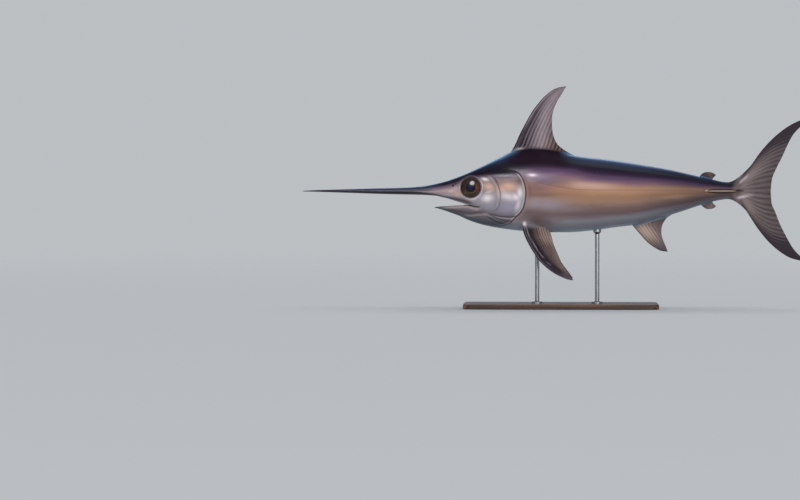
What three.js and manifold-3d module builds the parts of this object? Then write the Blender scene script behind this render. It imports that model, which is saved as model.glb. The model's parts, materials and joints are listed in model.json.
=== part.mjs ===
// Swordfish (Xiphias gladius), adult, life size, still, on a plain display stand.
// Millimetres. +X runs from the bill towards the tail, +Z is up, Y = 0 is the fish's plane of
// symmetry, and the floor is Z = 0. The origin is the middle of the whole part's box, on the floor.
import * as THREE from "three";
import { mergeVertices } from "three/addons/utils/BufferGeometryUtils.js";
import Module from "manifold-3d";

const wasm = await Module();
wasm.setup();

// ---------------------------------------------------------------- driving dimensions
const TOTAL_LENGTH = 3000; // bill tip to the tips of the tail
const AXIS_HEIGHT = 700; // the fish's own axis above the floor
const GAP = 0.3; // between neighbouring solids
const MOUTH_CORNER = -441; // X of the corner of the mouth
const JAW_TIP = -716; // X of the tip of the lower jaw
const BILL_ROOT = -736; // X of the cut between bill and head
const TRUNK_CUT = 190; // X of the cut between the two lengths of trunk
const STALK_CUT = 700; // X of the cut between trunk and tail stalk
const CAUDAL_CUT = 1122; // X of the cut between tail stalk and tail fin
const PEDUNCLE = 1029; // X of the narrowest place of the tail stalk
const EYE = { x: -497, z: 16, r: 58, dome: 11, depth: 44, sunk: 5 }; // centre, radius, bulge, depth
const GILL_PLATE = 10; // thickness of a gill cover
const FIN_EDGE = 0.8; // least half thickness of a fin
const BASE = { x: 35, length: 1150, width: 440, height: 30, corner: 45, bevel: 4 };
const ROD = { radius: 13, foot: 34, footHeight: 9, cup: 24, cupHeight: 26 };
const ROD_FRONT_X = -105;
const ROD_REAR_X = 250;

// ---------------------------------------------------------------- curves
// Monotone cubic through a few named stations [x, value].
function curve(stations) {
  const n = stations.length;
  const xs = stations.map((p) => p[0]);
  const ys = stations.map((p) => p[1]);
  const h = [], d = [], m = new Array(n).fill(0);
  for (let i = 0; i < n - 1; i++) {
    h.push(xs[i + 1] - xs[i]);
    d.push((ys[i + 1] - ys[i]) / h[i]);
  }
  for (let i = 1; i < n - 1; i++)
    if (d[i - 1] * d[i] > 0) {
      const w1 = 2 * h[i] + h[i - 1], w2 = h[i] + 2 * h[i - 1];
      m[i] = (w1 + w2) / (w1 / d[i - 1] + w2 / d[i]);
    }
  m[0] = d[0];
  m[n - 1] = d[n - 2];
  return (x) => {
    if (x <= xs[0]) return ys[0];
    if (x >= xs[n - 1]) return ys[n - 1];
    let i = 0;
    while (x > xs[i + 1]) i++;
    const t = (x - xs[i]) / h[i], t2 = t * t, t3 = t2 * t;
    return (
      (2 * t3 - 3 * t2 + 1) * ys[i] + (t3 - 2 * t2 + t) * h[i] * m[i] +
      (-2 * t3 + 3 * t2) * ys[i + 1] + (t3 - t2) * h[i] * m[i + 1]
    );
  };
}

// A smooth path through a few [x, z] points, called with the share of its length, 0 to 1.
function path(points) {
  const s = [0];
  for (let i = 1; i < points.length; i++)
    s.push(s[i - 1] + Math.hypot(points[i][0] - points[i - 1][0], points[i][1] - points[i - 1][1]));
  const all = s[s.length - 1];
  const fx = curve(points.map((p, i) => [s[i] / all, p[0]]));
  const fz = curve(points.map((p, i) => [s[i] / all, p[1]]));
  return (t) => [fx(t), fz(t)];
}

// ---------------------------------------------------------------- the body's outline, heights from the axis
const TOP = curve([[-1500, -4], [-1393, 1], [-1215, 6], [-1038, 11], [-919, 13.5], [-800, 21], [-717, 35],
  [-640, 55], [-534, 94], [-430, 142], [-324, 195], [-255, 226], [-160, 236], [-40, 229], [60, 214], [148, 199],
  [312, 180], [493, 153], [676, 121], [857, 79], [934, 62], [PEDUNCLE, 45]]);
const BOTTOM = curve([[-716, -103], [-668, -117], [-589, -144], [-504, -181], [-430, -205], [-324, -226],
  [-191, -242], [-33, -250], [74, -250], [267, -233], [358, -220], [465, -207], [585, -175], [721, -135],
  [866, -87], [978, -60], [PEDUNCLE, -51]]);
const HALF = curve([[-1500, 4], [-1476, 9], [-1393, 15], [-1215, 22], [-1038, 28], [-919, 33], [-800, 43], [-717, 55],
  [-652, 66], [-575, 78], [-498, 88], [-441, 95], [-377, 105], [-255, 125], [-166, 139], [-60, 151], [60, 159],
  [208, 161], [356, 154], [504, 139], [652, 116], [800, 86], [889, 66], [978, 47], [PEDUNCLE, 37]]);
const MIDDLE = curve([[-1500, -6], [-1215, -6], [-1038, -7], [-919, -8], [-800, -12], [-717, -27], [-652, -33],
  [-575, -30], [-500, -22], [-441, -14], [-324, -6], [-166, -2], [0, -8], [300, -10], [600, -6], [PEDUNCLE, -3]]);
const FULLNESS = curve([[-1500, 2], [-1100, 1.8], [-800, 1.9], [-650, 2.3], [-500, 2.5], [-300, 2.3], [0, 2.15],
  [700, 2.05], [PEDUNCLE, 2]]);
// The mouth: how far the upper lip hangs below the widest place, and the roof of the mouth.
const LIP_DROP = curve([[-717, 0], [-652, 12], [-575, 38], [-534, 55], [-490, 70], [MOUTH_CORNER, 85]]);
const ROOF = curve([[-1500, -8], [-1393, -11], [-1215, -17], [-1038, -23], [-919, -26], [-800, -28.5], [-717, -33],
  [-652, -40], [-575, -52], [-534, -64], [-490, -82], [MOUTH_CORNER, -98]]);
// The lower jaw: lip, half width, drop of the lip, floor of the mouth.
const JAW_LIP = curve([[JAW_TIP, -102], [-652, -94.5], [-575, -90], [-528, -89], [-490, -93], [MOUTH_CORNER, -99]]);
const JAW_HALF = curve([[JAW_TIP, 2], [-690, 17], [-652, 32], [-575, 57], [-500, 80], [MOUTH_CORNER, 95]]);
const JAW_DROP = curve([[JAW_TIP, 0], [-652, 2], [-575, 12], [-500, 45], [MOUTH_CORNER, 85]]);
const JAW_FLOOR = curve([[JAW_TIP, -102.2], [-690, -105], [-652, -110], [-575, -116], [-500, -112], [MOUTH_CORNER, -100]]);

const round = (c, n) => Math.sign(c) * Math.pow(Math.abs(c), 2 / n);

// A point of a full section: a is the angle from the side, up to 90 degrees at the back.
function around(a, half, top, middle, bottom, n) {
  const s = Math.sin(a), c = Math.cos(a);
  return [half * round(c, n), s >= 0 ? middle + (top - middle) * round(s, n) : middle + (middle - bottom) * round(s, n)];
}
const angleOf = (drop, depth, n) => -Math.asin(Math.min(1, Math.pow(Math.max(0, drop) / depth, n / 2)));

// One side of a section, from the back (Y = 0) to the belly, as [y, z] pairs. grow moves it out.
function wholeSide(x, grow, nUp, nDown) {
  const n = FULLNESS(x), half = HALF(x) + grow, top = TOP(x) + grow, bottom = BOTTOM(x) - grow, mid = MIDDLE(x);
  const out = [];
  for (let i = 0; i <= nUp; i++) out.push(around((Math.PI / 2) * (1 - i / nUp), half, top, mid, bottom, n));
  for (let i = 1; i <= nDown; i++) out.push(around((-Math.PI / 2) * (i / nDown), half, top, mid, bottom, n));
  return out;
}
function upperSide(x, grow, nUp, nRoof) {
  const n = FULLNESS(x), half = HALF(x) + grow, top = TOP(x) + grow, mid = MIDDLE(x);
  const drop = LIP_DROP(x), depth = mid - BOTTOM(x) + grow;
  const lip = drop > 0.01 ? angleOf(drop, depth, n) : 0;
  const out = [];
  for (let i = 0; i <= nUp; i++) {
    const a = Math.PI / 2 + (lip - Math.PI / 2) * (i / nUp);
    out.push(around(a, half, top, mid, mid - depth, n));
  }
  const [yLip, zLip] = out[out.length - 1];
  for (let i = 1; i <= nRoof; i++) {
    const f = (Math.PI / 2) * (i / nRoof);
    out.push([yLip * round(Math.cos(f), n), zLip + (ROOF(x) - grow - zLip) * round(Math.sin(f), n)]);
  }
  return out;
}
function jawSide(x, grow, nOuter, nFloor) {
  const n = FULLNESS(x), half = JAW_HALF(x) + grow, lipZ = JAW_LIP(x), mid = lipZ + JAW_DROP(x);
  const bottom = BOTTOM(x) - grow, a0 = angleOf(JAW_DROP(x), mid - bottom, n);
  const outer = [];
  for (let i = 0; i <= nOuter; i++) {
    const a = a0 + (-Math.PI / 2 - a0) * (i / nOuter);
    outer.push(around(a, half, mid, mid, bottom, n));
  }
  const [yLip, zLip] = outer[0];
  const floor = [];
  for (let i = nFloor; i >= 1; i--) {
    const f = (Math.PI / 2) * (i / nFloor);
    floor.push([yLip * round(Math.cos(f), n), zLip + (JAW_FLOOR(x) - zLip) * round(Math.sin(f), n)]);
  }
  return [...floor, ...outer];
}

// Both sides of a section as one closed ring at x.
function ring(x, side) {
  const right = side.map(([y, z]) => [x, Math.max(y, 0), AXIS_HEIGHT + z]);
  const left = side.slice(1, -1).reverse().map(([y, z]) => [x, -y, AXIS_HEIGHT + z]);
  right[0][1] = 0;
  right[right.length - 1][1] = 0;
  return [...right, ...left];
}

// ---------------------------------------------------------------- solids from rings and grids
function geometryOf(vertices, triangles) {
  let volume = 0;
  for (const [a, b, c] of triangles) {
    const [p, q, r] = [vertices[a], vertices[b], vertices[c]];
    volume += p[0] * (q[1] * r[2] - q[2] * r[1]) - p[1] * (q[0] * r[2] - q[2] * r[0]) + p[2] * (q[0] * r[1] - q[1] * r[0]);
  }
  const index = triangles.flatMap(([a, b, c]) => (volume < 0 ? [a, c, b] : [a, b, c]));
  const g = new THREE.BufferGeometry();
  g.setAttribute("position", new THREE.Float32BufferAttribute(vertices.flat(), 3));
  g.setIndex(index);
  return g;
}
function loft(rings) {
  const n = rings[0].length, vertices = rings.flat(), triangles = [];
  for (let i = 0; i < rings.length - 1; i++)
    for (let j = 0; j < n; j++) {
      const a = i * n + j, b = i * n + ((j + 1) % n), c = a + n, d = b + n;
      triangles.push([a, b, d], [a, d, c]);
    }
  for (const end of [0, rings.length - 1]) {
    // A flat end, closed by strips between its two sides.
    const at = (j) => end * n + j, half = n / 2;
    for (let j = 0; j < half; j++) {
      const a = at(j), b = at(j + 1), c = at((n - j) % n), d = at(n - j - 1);
      const flip = end === 0;
      const add = (p, q, r) => p !== q && q !== r && p !== r && triangles.push(flip ? [p, r, q] : [p, q, r]);
      add(a, b, d);
      add(a, d, c);
    }
  }
  return geometryOf(vertices, triangles);
}
// A fin: a sheet of points sheet[i][j] = [x, y, z], made solid by moving it by half[i][j] to both sides along across.
function slab(sheet, half, across) {
  const ni = sheet.length, nj = sheet[0].length, vertices = [], triangles = [];
  for (const side of [1, -1])
    for (let i = 0; i < ni; i++)
      for (let j = 0; j < nj; j++)
        vertices.push(sheet[i][j].map((v, k) => v + side * half[i][j] * across[k]));
  const at = (side, i, j) => side * ni * nj + i * nj + j;
  for (let i = 0; i < ni - 1; i++)
    for (let j = 0; j < nj - 1; j++) {
      triangles.push([at(0, i, j), at(0, i + 1, j), at(0, i + 1, j + 1)], [at(0, i, j), at(0, i + 1, j + 1), at(0, i, j + 1)]);
      triangles.push([at(1, i, j), at(1, i + 1, j + 1), at(1, i + 1, j)], [at(1, i, j), at(1, i, j + 1), at(1, i + 1, j + 1)]);
    }
  const rim = [];
  for (let i = 0; i < ni - 1; i++) rim.push([i, 0]);
  for (let j = 0; j < nj - 1; j++) rim.push([ni - 1, j]);
  for (let i = ni - 1; i > 0; i--) rim.push([i, nj - 1]);
  for (let j = nj - 1; j > 0; j--) rim.push([0, j]);
  rim.forEach(([i, j], k) => {
    const [i2, j2] = rim[(k + 1) % rim.length];
    triangles.push([at(0, i, j), at(1, i, j), at(1, i2, j2)], [at(0, i, j), at(1, i2, j2), at(0, i2, j2)]);
  });
  return geometryOf(vertices, triangles);
}

// ---------------------------------------------------------------- joins and cuts
function solid(geometry) {
  const g = new THREE.BufferGeometry().setAttribute("position", geometry.getAttribute("position"));
  if (geometry.index) g.setIndex(geometry.index);
  const merged = mergeVertices(g, 1e-3), p = merged.attributes.position.array, t = merged.index.array;
  let volume = 0;
  for (let i = 0; i < t.length; i += 3) {
    const [a, b, c] = [t[i] * 3, t[i + 1] * 3, t[i + 2] * 3];
    volume += p[a] * (p[b + 1] * p[c + 2] - p[b + 2] * p[c + 1]) - p[a + 1] * (p[b] * p[c + 2] - p[b + 2] * p[c]) + p[a + 2] * (p[b] * p[c + 1] - p[b + 1] * p[c]);
  }
  const triVerts = new Uint32Array(t);
  if (volume < 0) for (let i = 0; i < t.length; i += 3) [triVerts[i + 1], triVerts[i + 2]] = [t[i + 2], t[i + 1]];
  return new wasm.Manifold(new wasm.Mesh({ numProp: 3, vertProperties: new Float32Array(p), triVerts }));
}
function largest(m) {
  return m.decompose().sort((a, b) => b.volume() - a.volume())[0];
}
function geometryFrom(m) {
  const mesh = m.getMesh(), n = mesh.numProp, v = new Float32Array(mesh.numVert * 3);
  for (let i = 0; i < mesh.numVert; i++) v.set(mesh.vertProperties.subarray(i * n, i * n + 3), i * 3);
  const g = new THREE.BufferGeometry().setAttribute("position", new THREE.BufferAttribute(v, 3));
  return g.setIndex(new THREE.BufferAttribute(new Uint32Array(mesh.triVerts), 1));
}
function block(x0, x1, y0, y1, z0, z1) {
  const g = new THREE.BoxGeometry(x1 - x0, y1 - y0, z1 - z0);
  g.translate((x0 + x1) / 2, (y0 + y1) / 2, (z0 + z1) / 2);
  return solid(g);
}
// A side-view outline of [x, height from axis] points, run through from y0 to y1.
function prism(outline, y0, y1) {
  const shape = new THREE.Shape(outline.map(([x, z]) => new THREE.Vector2(x, z + AXIS_HEIGHT)));
  const g = new THREE.ExtrudeGeometry(shape, { depth: y1 - y0, bevelEnabled: false, steps: 1 });
  g.rotateX(Math.PI / 2); // (x, z, d) becomes (x, -d, z)
  g.translate(0, y1, 0);
  return solid(g);
}
// An outline moved outwards by a distance (points go clockwise in the side view).
const grown = (outline, by) =>
  outline.map((p, i) => {
    const a = outline[(i + outline.length - 1) % outline.length], b = outline[(i + 1) % outline.length];
    const unit = (u, v) => { const d = Math.hypot(v[0] - u[0], v[1] - u[1]); return [-(v[1] - u[1]) / d, (v[0] - u[0]) / d]; };
    const m = unit(a, p), n = unit(p, b), k = by / Math.max(0.35, 1 + m[0] * n[0] + m[1] * n[1]);
    return [p[0] + (m[0] + n[0]) * k, p[1] + (m[1] + n[1]) * k];
  });
const range = (from, to, n) => Array.from({ length: n + 1 }, (_, i) => from + ((to - from) * i) / n);

// ---------------------------------------------------------------- body lofts
const N_UP = 8, N_DOWN = 6, N_ROOF = 3;
const bodyLoft = (stations, grow = 0) => loft(stations.map((x) => ring(x, wholeSide(x, grow, N_UP, N_DOWN))));
const upperLoft = (stations, grow = 0) => loft(stations.map((x) => ring(x, upperSide(x, grow, N_UP, N_ROOF))));
const jawLoft = (stations) => loft(stations.map((x) => ring(x, jawSide(x, 0, 5, 3))));

const billStations = [-1500, -1488, -1450, ...range(-1393, -917, 5), -860, -800, BILL_ROOT - GAP / 2];
const headStations = [BILL_ROOT + GAP / 2, -716, -690, ...range(-652, MOUTH_CORNER, 7)];
const cheekStations = range(MOUTH_CORNER, -100, 9);
const trunkStations = [...cheekStations.filter((x) => x > -340), -30, 40, 115];
const rearStations = range(TRUNK_CUT, STALK_CUT, 8).slice(1, -1);
const stalkStations = [...range(STALK_CUT, 940, 4).slice(1), 985];

const headWhole = solid(upperLoft([...headStations, MOUTH_CORNER + 0.5])).add(solid(bodyLoft(cheekStations)));

// The gill opening, seen from the side: the head ends along it and the trunk begins.
const GILL_EDGE = [[-330, 300], [-300, 215], [-258, 140], [-218, 102], [-184, 42], [-172, -17], [-183, -81], [-214, -133],
  [-248, -177], [-290, -214], [-330, -290]];
const headOutline = [[-900, 300], ...GILL_EDGE, [-900, -290]];
const headPrism = prism(headOutline.slice().reverse(), -300, 300);
const trunkGuard = prism([[-900, 300], ...GILL_EDGE.map(([x, z]) => [x + GAP, z]), [-900, -290]].reverse(), -300, 300);

// The gill cover: a plate from the cheek bone's edge back to the gill opening.
const GILL_COVER = [[-366, 92], [-320, 118], [-268, 122], [-224, 96], [-192, 40], [-181, -17], [-191, -79], [-221, -129],
  [-246, -154], [-300, -161], [-352, -153], [-394, -136], [-356, -114], [-332, -60], [-336, 0], [-350, 50]];
const coverPrism = (y0, y1, by) => prism((by ? grown(GILL_COVER, by) : GILL_COVER).slice().reverse(), y0, y1);
const skull = solid(bodyLoft(range(-460, -100, 9), -GILL_PLATE));
const skullDeep = solid(bodyLoft(range(-460, -100, 9), -GILL_PLATE - GAP));

// The head's surface from the side: how far out it lies at (x, z).
function flankAt(x, z) {
  const n = FULLNESS(x), up = z >= MIDDLE(x);
  const u = Math.min(1, up ? (z - MIDDLE(x)) / (TOP(x) - MIDDLE(x)) : (MIDDLE(x) - z) / (MIDDLE(x) - BOTTOM(x)));
  return HALF(x) * Math.pow(Math.max(0, 1 - Math.pow(u, n)), 1 / n);
}
// An eye: a low dome on a rounded back, square to the head's surface.
function eyeball(side, grow) {
  const { x, z, r, dome, depth, sunk } = EYE, d = 30;
  const out = new THREE.Vector3(-(flankAt(x + d, z) - flankAt(x - d, z)) / (2 * d), 1, -(flankAt(x, z + d) - flankAt(x, z - d)) / (2 * d)).normalize();
  const profile = [];
  for (const a of range(-90, 0, 4)) profile.push([(r + grow) * Math.cos((a * Math.PI) / 180), (depth + grow) * Math.sin((a * Math.PI) / 180)]);
  for (const a of range(20, 90, 3)) profile.push([(r + grow) * Math.cos((a * Math.PI) / 180), (dome + grow) * Math.sin((a * Math.PI) / 180)]);
  profile[0][0] = profile[profile.length - 1][0] = 0;
  const g = new THREE.LatheGeometry(profile.map(([a, b]) => new THREE.Vector2(a, b)), 20);
  g.translate(0, -sunk, 0);
  g.applyQuaternion(new THREE.Quaternion().setFromUnitVectors(new THREE.Vector3(0, 1, 0), out));
  g.translate(x, flankAt(x, z), AXIS_HEIGHT + z);
  if (side < 0) g.scale(1, -1, 1);
  return solid(g);
}

let head = headWhole.intersect(headPrism);
const covers = {};
for (const [name, side] of [["left", -1], ["right", 1]]) {
  const y = side > 0 ? [20, 300] : [-300, -20];
  covers[name] = largest(headWhole.intersect(coverPrism(...y, 0)).subtract(skull));
  head = head.subtract(coverPrism(...y, GAP).subtract(skullDeep));
  head = head.subtract(eyeball(side, GAP));
}
head = largest(head);

const trunkFront = largest(solid(bodyLoft([...trunkStations, TRUNK_CUT - GAP / 2])).subtract(trunkGuard));
const trunkRear = solid(bodyLoft([TRUNK_CUT + GAP / 2, ...rearStations, STALK_CUT - GAP / 2]));

// ---------------------------------------------------------------- tail fin, as a sheet of rays
const LEAD_UP = path([[PEDUNCLE, 45], [1067, 62], [1095, 86], [1146, 136], [1215, 231], [1295, 316], [1391, 387], [1453, 415], [1500, 430]]);
const LEAD_DOWN = path([[PEDUNCLE, -51], [1067, -68], [1095, -91], [1134, -127], [1215, -248], [1282, -327], [1336, -371], [1391, -402], [1453, -417], [1497, -421]]);
const TRAIL_UP = path([[1271, -2], [1278, 64], [1302, 125], [1336, 193], [1370, 268], [1404, 330], [1453, 381], [1500, 430]]);
const TRAIL_DOWN = path([[1271, -2], [1276, -78], [1295, -122], [1329, -208], [1364, -276], [1404, -345], [1453, -395], [1497, -421]]);
const CAUDAL_THICK = curve([[0, 37], [0.08, 31], [0.17, 20], [0.28, 10], [0.42, 5.5], [0.7, 3], [1, FIN_EDGE]]);
const lerp = (a, b, t) => a + (b - a) * t;
// Fills the sheet between a root, a margin and two side edges, each a function of 0 to 1.
function coons(root, margin, first, last, s, v) {
  const out = [];
  for (const k of [0, 1]) {
    out.push(
      lerp(root(s)[k], margin(s)[k], v) + lerp(first(v)[k], last(v)[k], s) -
      (1 - s) * (1 - v) * root(0)[k] - s * (1 - v) * root(1)[k] - (1 - s) * v * margin(0)[k] - s * v * margin(1)[k],
    );
  }
  return out;
}
function caudalPoint(r, v) {
  const up = r >= 0;
  const centre = (t) => [lerp(PEDUNCLE, 1271, t), -3 + t];
  const root = (s) => [PEDUNCLE, -3 + s * (up ? 48 : -48)];
  return coons(root, up ? TRAIL_UP : TRAIL_DOWN, centre, up ? LEAD_UP : LEAD_DOWN, Math.abs(r), v);
}
function caudal() {
  const rays = range(-1, 1, 18), steps = [0, 0.06, 0.14, 0.23, 0.34, 0.48, 0.64, 0.82, 1];
  const sheet = [], half = [];
  for (const r of rays) {
    sheet.push(steps.map((v) => { const [x, z] = caudalPoint(r, v); return [x, 0, z + AXIS_HEIGHT]; }));
    half.push(steps.map((v) => {
      const full = CAUDAL_THICK(v), edge = Math.sqrt(Math.max(0, 1 - Math.pow(Math.abs(r), lerp(2, 6, v))));
      return Math.max(FIN_EDGE, full * edge);
    }));
  }
  return solid(slab(sheet, half, [0, 1, 0]));
}
const tailFin = caudal();
const stalkLoft = solid(bodyLoft([STALK_CUT + GAP / 2, ...stalkStations, PEDUNCLE]));
const far = 2000;
const stalk = largest(stalkLoft.add(tailFin.intersect(block(PEDUNCLE - 1, CAUDAL_CUT - GAP / 2, -far, far, 0, far))));
const finBack = tailFin.intersect(block(CAUDAL_CUT + GAP / 2, far, -far, far, 0, far));
const caudalUpper = largest(finBack.intersect(block(0, far, -far, far, AXIS_HEIGHT - 2 + GAP / 2, far)));
const caudalLower = largest(finBack.intersect(block(0, far, -far, far, 0, AXIS_HEIGHT - 2 - GAP / 2)));

// ---------------------------------------------------------------- keels
function keel(side) {
  const outline = curve([[0, 0], [0.12, 13], [0.35, 31], [0.6, 38], [0.82, 27], [1, 0]]);
  const from = 872, to = 1108, sheet = [], half = [];
  for (const t of range(0.03, 0.97, 8)) {
    const x = lerp(from, to, t), inner = Math.max(4, stalkHalf(x) - 9), outer = stalkHalf(x) + outline(t);
    sheet.push(range(0, 1, 3).map((k) => [x, side * lerp(inner, outer, k), AXIS_HEIGHT - 4]));
    half.push(range(0, 1, 3).map((k) => lerp(9, 1.2, k)));
  }
  return solid(slab(sheet, half, [0, 0, 1]));
}
function stalkHalf(x) {
  return x <= PEDUNCLE ? HALF(x) : CAUDAL_THICK((x - PEDUNCLE) / (1271 - PEDUNCLE));
}

// ---------------------------------------------------------------- upright and paired fins
const onBack = (x) => TOP(x), onBelly = (x) => BOTTOM(x);
function fin({ base, sink, lead, trail, thick, place, across, nS, nV }) {
  // base(s) is the root line, sunk below the skin; lead and trail are the free edges from root to tip.
  const root = base, sheet = [], half = [];
  const tail = (v) => { const a = root(1), b = trail(0); return [lerp(a[0], b[0], v), lerp(a[1], b[1], v)]; };
  const margin = (s) => trail(1 - s);
  for (const s of range(0, 1, nS)) {
    const row = range(0, 1, nV).map((v) => coons(root, margin, lead, tail, s, v));
    const rowHalf = range(0, 1, nV).map((v) => {
      const nose = Math.min(1, Math.sqrt(s / 0.12) * 0.9 + 0.1), tailOff = lerp(1, 0.3, s);
      return Math.max(FIN_EDGE, thick * nose * tailOff * Math.pow(1 - v, 0.8));
    });
    sheet.push(row.map((p) => place(p)));
    half.push(rowHalf);
  }
  return solid(slab(sheet, half, across));
}
const upright = ([x, z]) => [x, 0, z + AXIS_HEIGHT];
const DORSAL = {
  base: (s) => { const x = lerp(-262, 108, s); return [x, onBack(x) - 14]; },
  lead: path([[-262, 212], [-234, 273], [-210, 328], [-172, 401], [-136, 464], [-99, 514], [-62, 555], [-26, 585], [10, 605], [66, 614]]),
  trail: path([[116, 196], [78, 222], [46, 243], [18, 265], [-2, 300], [-14, 342], [-18, 388], [-17, 437], [-6, 482], [12, 524], [34, 560], [66, 614]]),
  thick: 11, place: upright, across: [0, 1, 0], nS: 9, nV: 8,
};
const ANAL = {
  base: (s) => { const x = lerp(457, 690, s); return [x, onBelly(x) + 14]; },
  lead: path([[457, -196], [480, -235], [503, -262], [530, -293], [561, -321], [594, -343], [630, -360], [666, -364]]),
  trail: path([[693, -140], [668, -158], [648, -180], [632, -212], [628, -248], [637, -290], [655, -334], [666, -364]]),
  thick: 8, place: upright, across: [0, 1, 0], nS: 8, nV: 6,
};
const DORSAL2 = {
  base: (s) => { const x = lerp(852, 925, s); return [x, onBack(x) - 10]; },
  lead: path([[852, 72], [875, 95], [900, 105], [928, 103], [949, 89]]),
  trail: path([[928, 60], [934, 70], [949, 89]]),
  thick: 5, place: upright, across: [0, 1, 0], nS: 4, nV: 3,
};
const ANAL2 = {
  base: (s) => { const x = lerp(862, 925, s); return [x, onBelly(x) + 10]; },
  lead: path([[862, -80], [880, -103], [905, -112], [932, -108], [951, -96]]),
  trail: path([[928, -68], [930, -82], [951, -96]]),
  thick: 5, place: upright, across: [0, 1, 0], nS: 4, nV: 3,
};
// The paired fins leave the flank low down and splay outwards as they go down.
const PECTORAL_SPLAY = Math.tan((21 * Math.PI) / 180);
function pectoral(side) {
  const seat = flankAt(-130, -205);
  const place = ([x, z]) => [x, side * (seat + (-205 - z) * PECTORAL_SPLAY), z + AXIS_HEIGHT];
  return fin({
    base: path([[-204, -152], [-130, -160], [-60, -176]]),
    lead: path([[-204, -152], [-196, -215], [-186, -252], [-159, -314], [-125, -371], [-84, -422], [-38, -463], [10, -492], [62, -519], [111, -527]]),
    trail: path([[-60, -176], [-38, -226], [-22, -262], [-12, -312], [-1, -362], [22, -412], [49, -458], [82, -498], [111, -527]]),
    thick: 12, place, across: [0, side * Math.cos(0.366), Math.sin(0.366) * 1], nS: 7, nV: 8,
  });
}

// What the fins and rods are cut back from.
const nearBody = solid(bodyLoft([...cheekStations, -30, 40, 115, TRUNK_CUT, ...rearStations, STALK_CUT, ...stalkStations, PEDUNCLE], GAP));
const finOf = (spec) => largest(fin(spec).subtract(nearBody));
const guardTail = solid(
  (() => {
    const rays = range(-1, 1, 18), steps = [0, 0.06, 0.14, 0.23, 0.34, 0.48, 0.64], sheet = [], half = [];
    for (const r of rays) {
      sheet.push(steps.map((v) => { const [x, z] = caudalPoint(r, v); return [x, 0, z + AXIS_HEIGHT]; }));
      half.push(steps.map((v) => Math.max(FIN_EDGE, CAUDAL_THICK(v) * Math.sqrt(Math.max(0, 1 - Math.pow(Math.abs(r), lerp(2, 6, v))))) + GAP));
    }
    return slab(sheet, half, [0, 1, 0]);
  })(),
);
const keelOf = (side) => largest(keel(side).subtract(nearBody).subtract(guardTail));

// ---------------------------------------------------------------- stand
function basePlate() {
  const { length: l, width: w, corner: c, height, bevel } = BASE;
  const hx = l / 2 - bevel, hy = w / 2 - bevel, s = new THREE.Shape();
  s.moveTo(-hx + c, -hy);
  s.lineTo(hx - c, -hy);
  s.absarc(hx - c, -hy + c, c, -Math.PI / 2, 0);
  s.lineTo(hx, hy - c);
  s.absarc(hx - c, hy - c, c, 0, Math.PI / 2);
  s.lineTo(-hx + c, hy);
  s.absarc(-hx + c, hy - c, c, Math.PI / 2, Math.PI);
  s.lineTo(-hx, -hy + c);
  s.absarc(-hx + c, -hy + c, c, Math.PI, 1.5 * Math.PI);
  const g = new THREE.ExtrudeGeometry(s, {
    depth: height - 2 * bevel, bevelEnabled: true, bevelThickness: bevel, bevelSize: bevel, bevelSegments: 1, curveSegments: 5,
  });
  g.translate(BASE.x, 0, bevel);
  return solid(g);
}
function rod(x) {
  const bottom = BASE.height + GAP, top = AXIS_HEIGHT + BOTTOM(x) + 20;
  const cupFrom = AXIS_HEIGHT + BOTTOM(x) - ROD.cupHeight;
  const profile = [[0, bottom], [ROD.foot, bottom], [ROD.foot, bottom + ROD.footHeight - 2], [ROD.foot - 2, bottom + ROD.footHeight],
    [ROD.radius + 3, bottom + ROD.footHeight], [ROD.radius, bottom + ROD.footHeight + 3], [ROD.radius, cupFrom], [ROD.cup, cupFrom + 14],
    [ROD.cup, top], [0, top]].map(([r, z]) => new THREE.Vector2(r, z));
  const g = new THREE.LatheGeometry(profile, 18);
  g.rotateX(Math.PI / 2);
  g.translate(x, 0, 0);
  return largest(solid(g).subtract(nearBody));
}

// ---------------------------------------------------------------- the scene graph
const colours = {
  back: 0x2b2438, flank: 0x8d7a6c, head: 0x8f8a90, bill: 0x5b5260, fin: 0x5c4a4e, eye: 0x3a2216, base: 0x3b2a20, rod: 0xb9bcc0,
};
const finish = (color, roughness, metalness) => new THREE.MeshStandardMaterial({ color, roughness, metalness });
const materials = {
  bill: finish(colours.bill, 0.45, 0.1), head: finish(colours.head, 0.35, 0.3), flank: finish(colours.flank, 0.35, 0.25),
  fin: finish(colours.fin, 0.45, 0.05), eye: finish(colours.eye, 0.05, 0), base: finish(colours.base, 0.45, 0), rod: finish(colours.rod, 0.3, 1),
};
const group = new THREE.Group();
group.name = "swordfish";
function node(name, geometry, material) {
  const mesh = new THREE.Mesh(geometry, material);
  mesh.name = name;
  group.add(mesh);
}
node("bill", upperLoft(billStations), materials.bill);
node("head", geometryFrom(head), materials.head);
node("lower_jaw", jawLoft([JAW_TIP, -705, -690, ...range(-652, MOUTH_CORNER - GAP, 6)]), materials.head);
node("gill_cover_left", geometryFrom(covers.left), materials.head);
node("gill_cover_right", geometryFrom(covers.right), materials.head);
node("eye_left", geometryFrom(eyeball(-1, 0)), materials.eye);
node("eye_right", geometryFrom(eyeball(1, 0)), materials.eye);
node("trunk_front", geometryFrom(trunkFront), materials.flank);
node("trunk_rear", geometryFrom(trunkRear), materials.flank);
node("tail_stalk", geometryFrom(stalk), materials.flank);
node("keel_left", geometryFrom(keelOf(-1)), materials.fin);
node("keel_right", geometryFrom(keelOf(1)), materials.fin);
node("tail_fin_upper", geometryFrom(caudalUpper), materials.fin);
node("tail_fin_lower", geometryFrom(caudalLower), materials.fin);
node("first_dorsal_fin", geometryFrom(finOf(DORSAL)), materials.fin);
node("second_dorsal_fin", geometryFrom(finOf(DORSAL2)), materials.fin);
node("first_anal_fin", geometryFrom(finOf(ANAL)), materials.fin);
node("second_anal_fin", geometryFrom(finOf(ANAL2)), materials.fin);
node("pectoral_fin_left", geometryFrom(largest(pectoral(-1).subtract(nearBody))), materials.fin);
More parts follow.
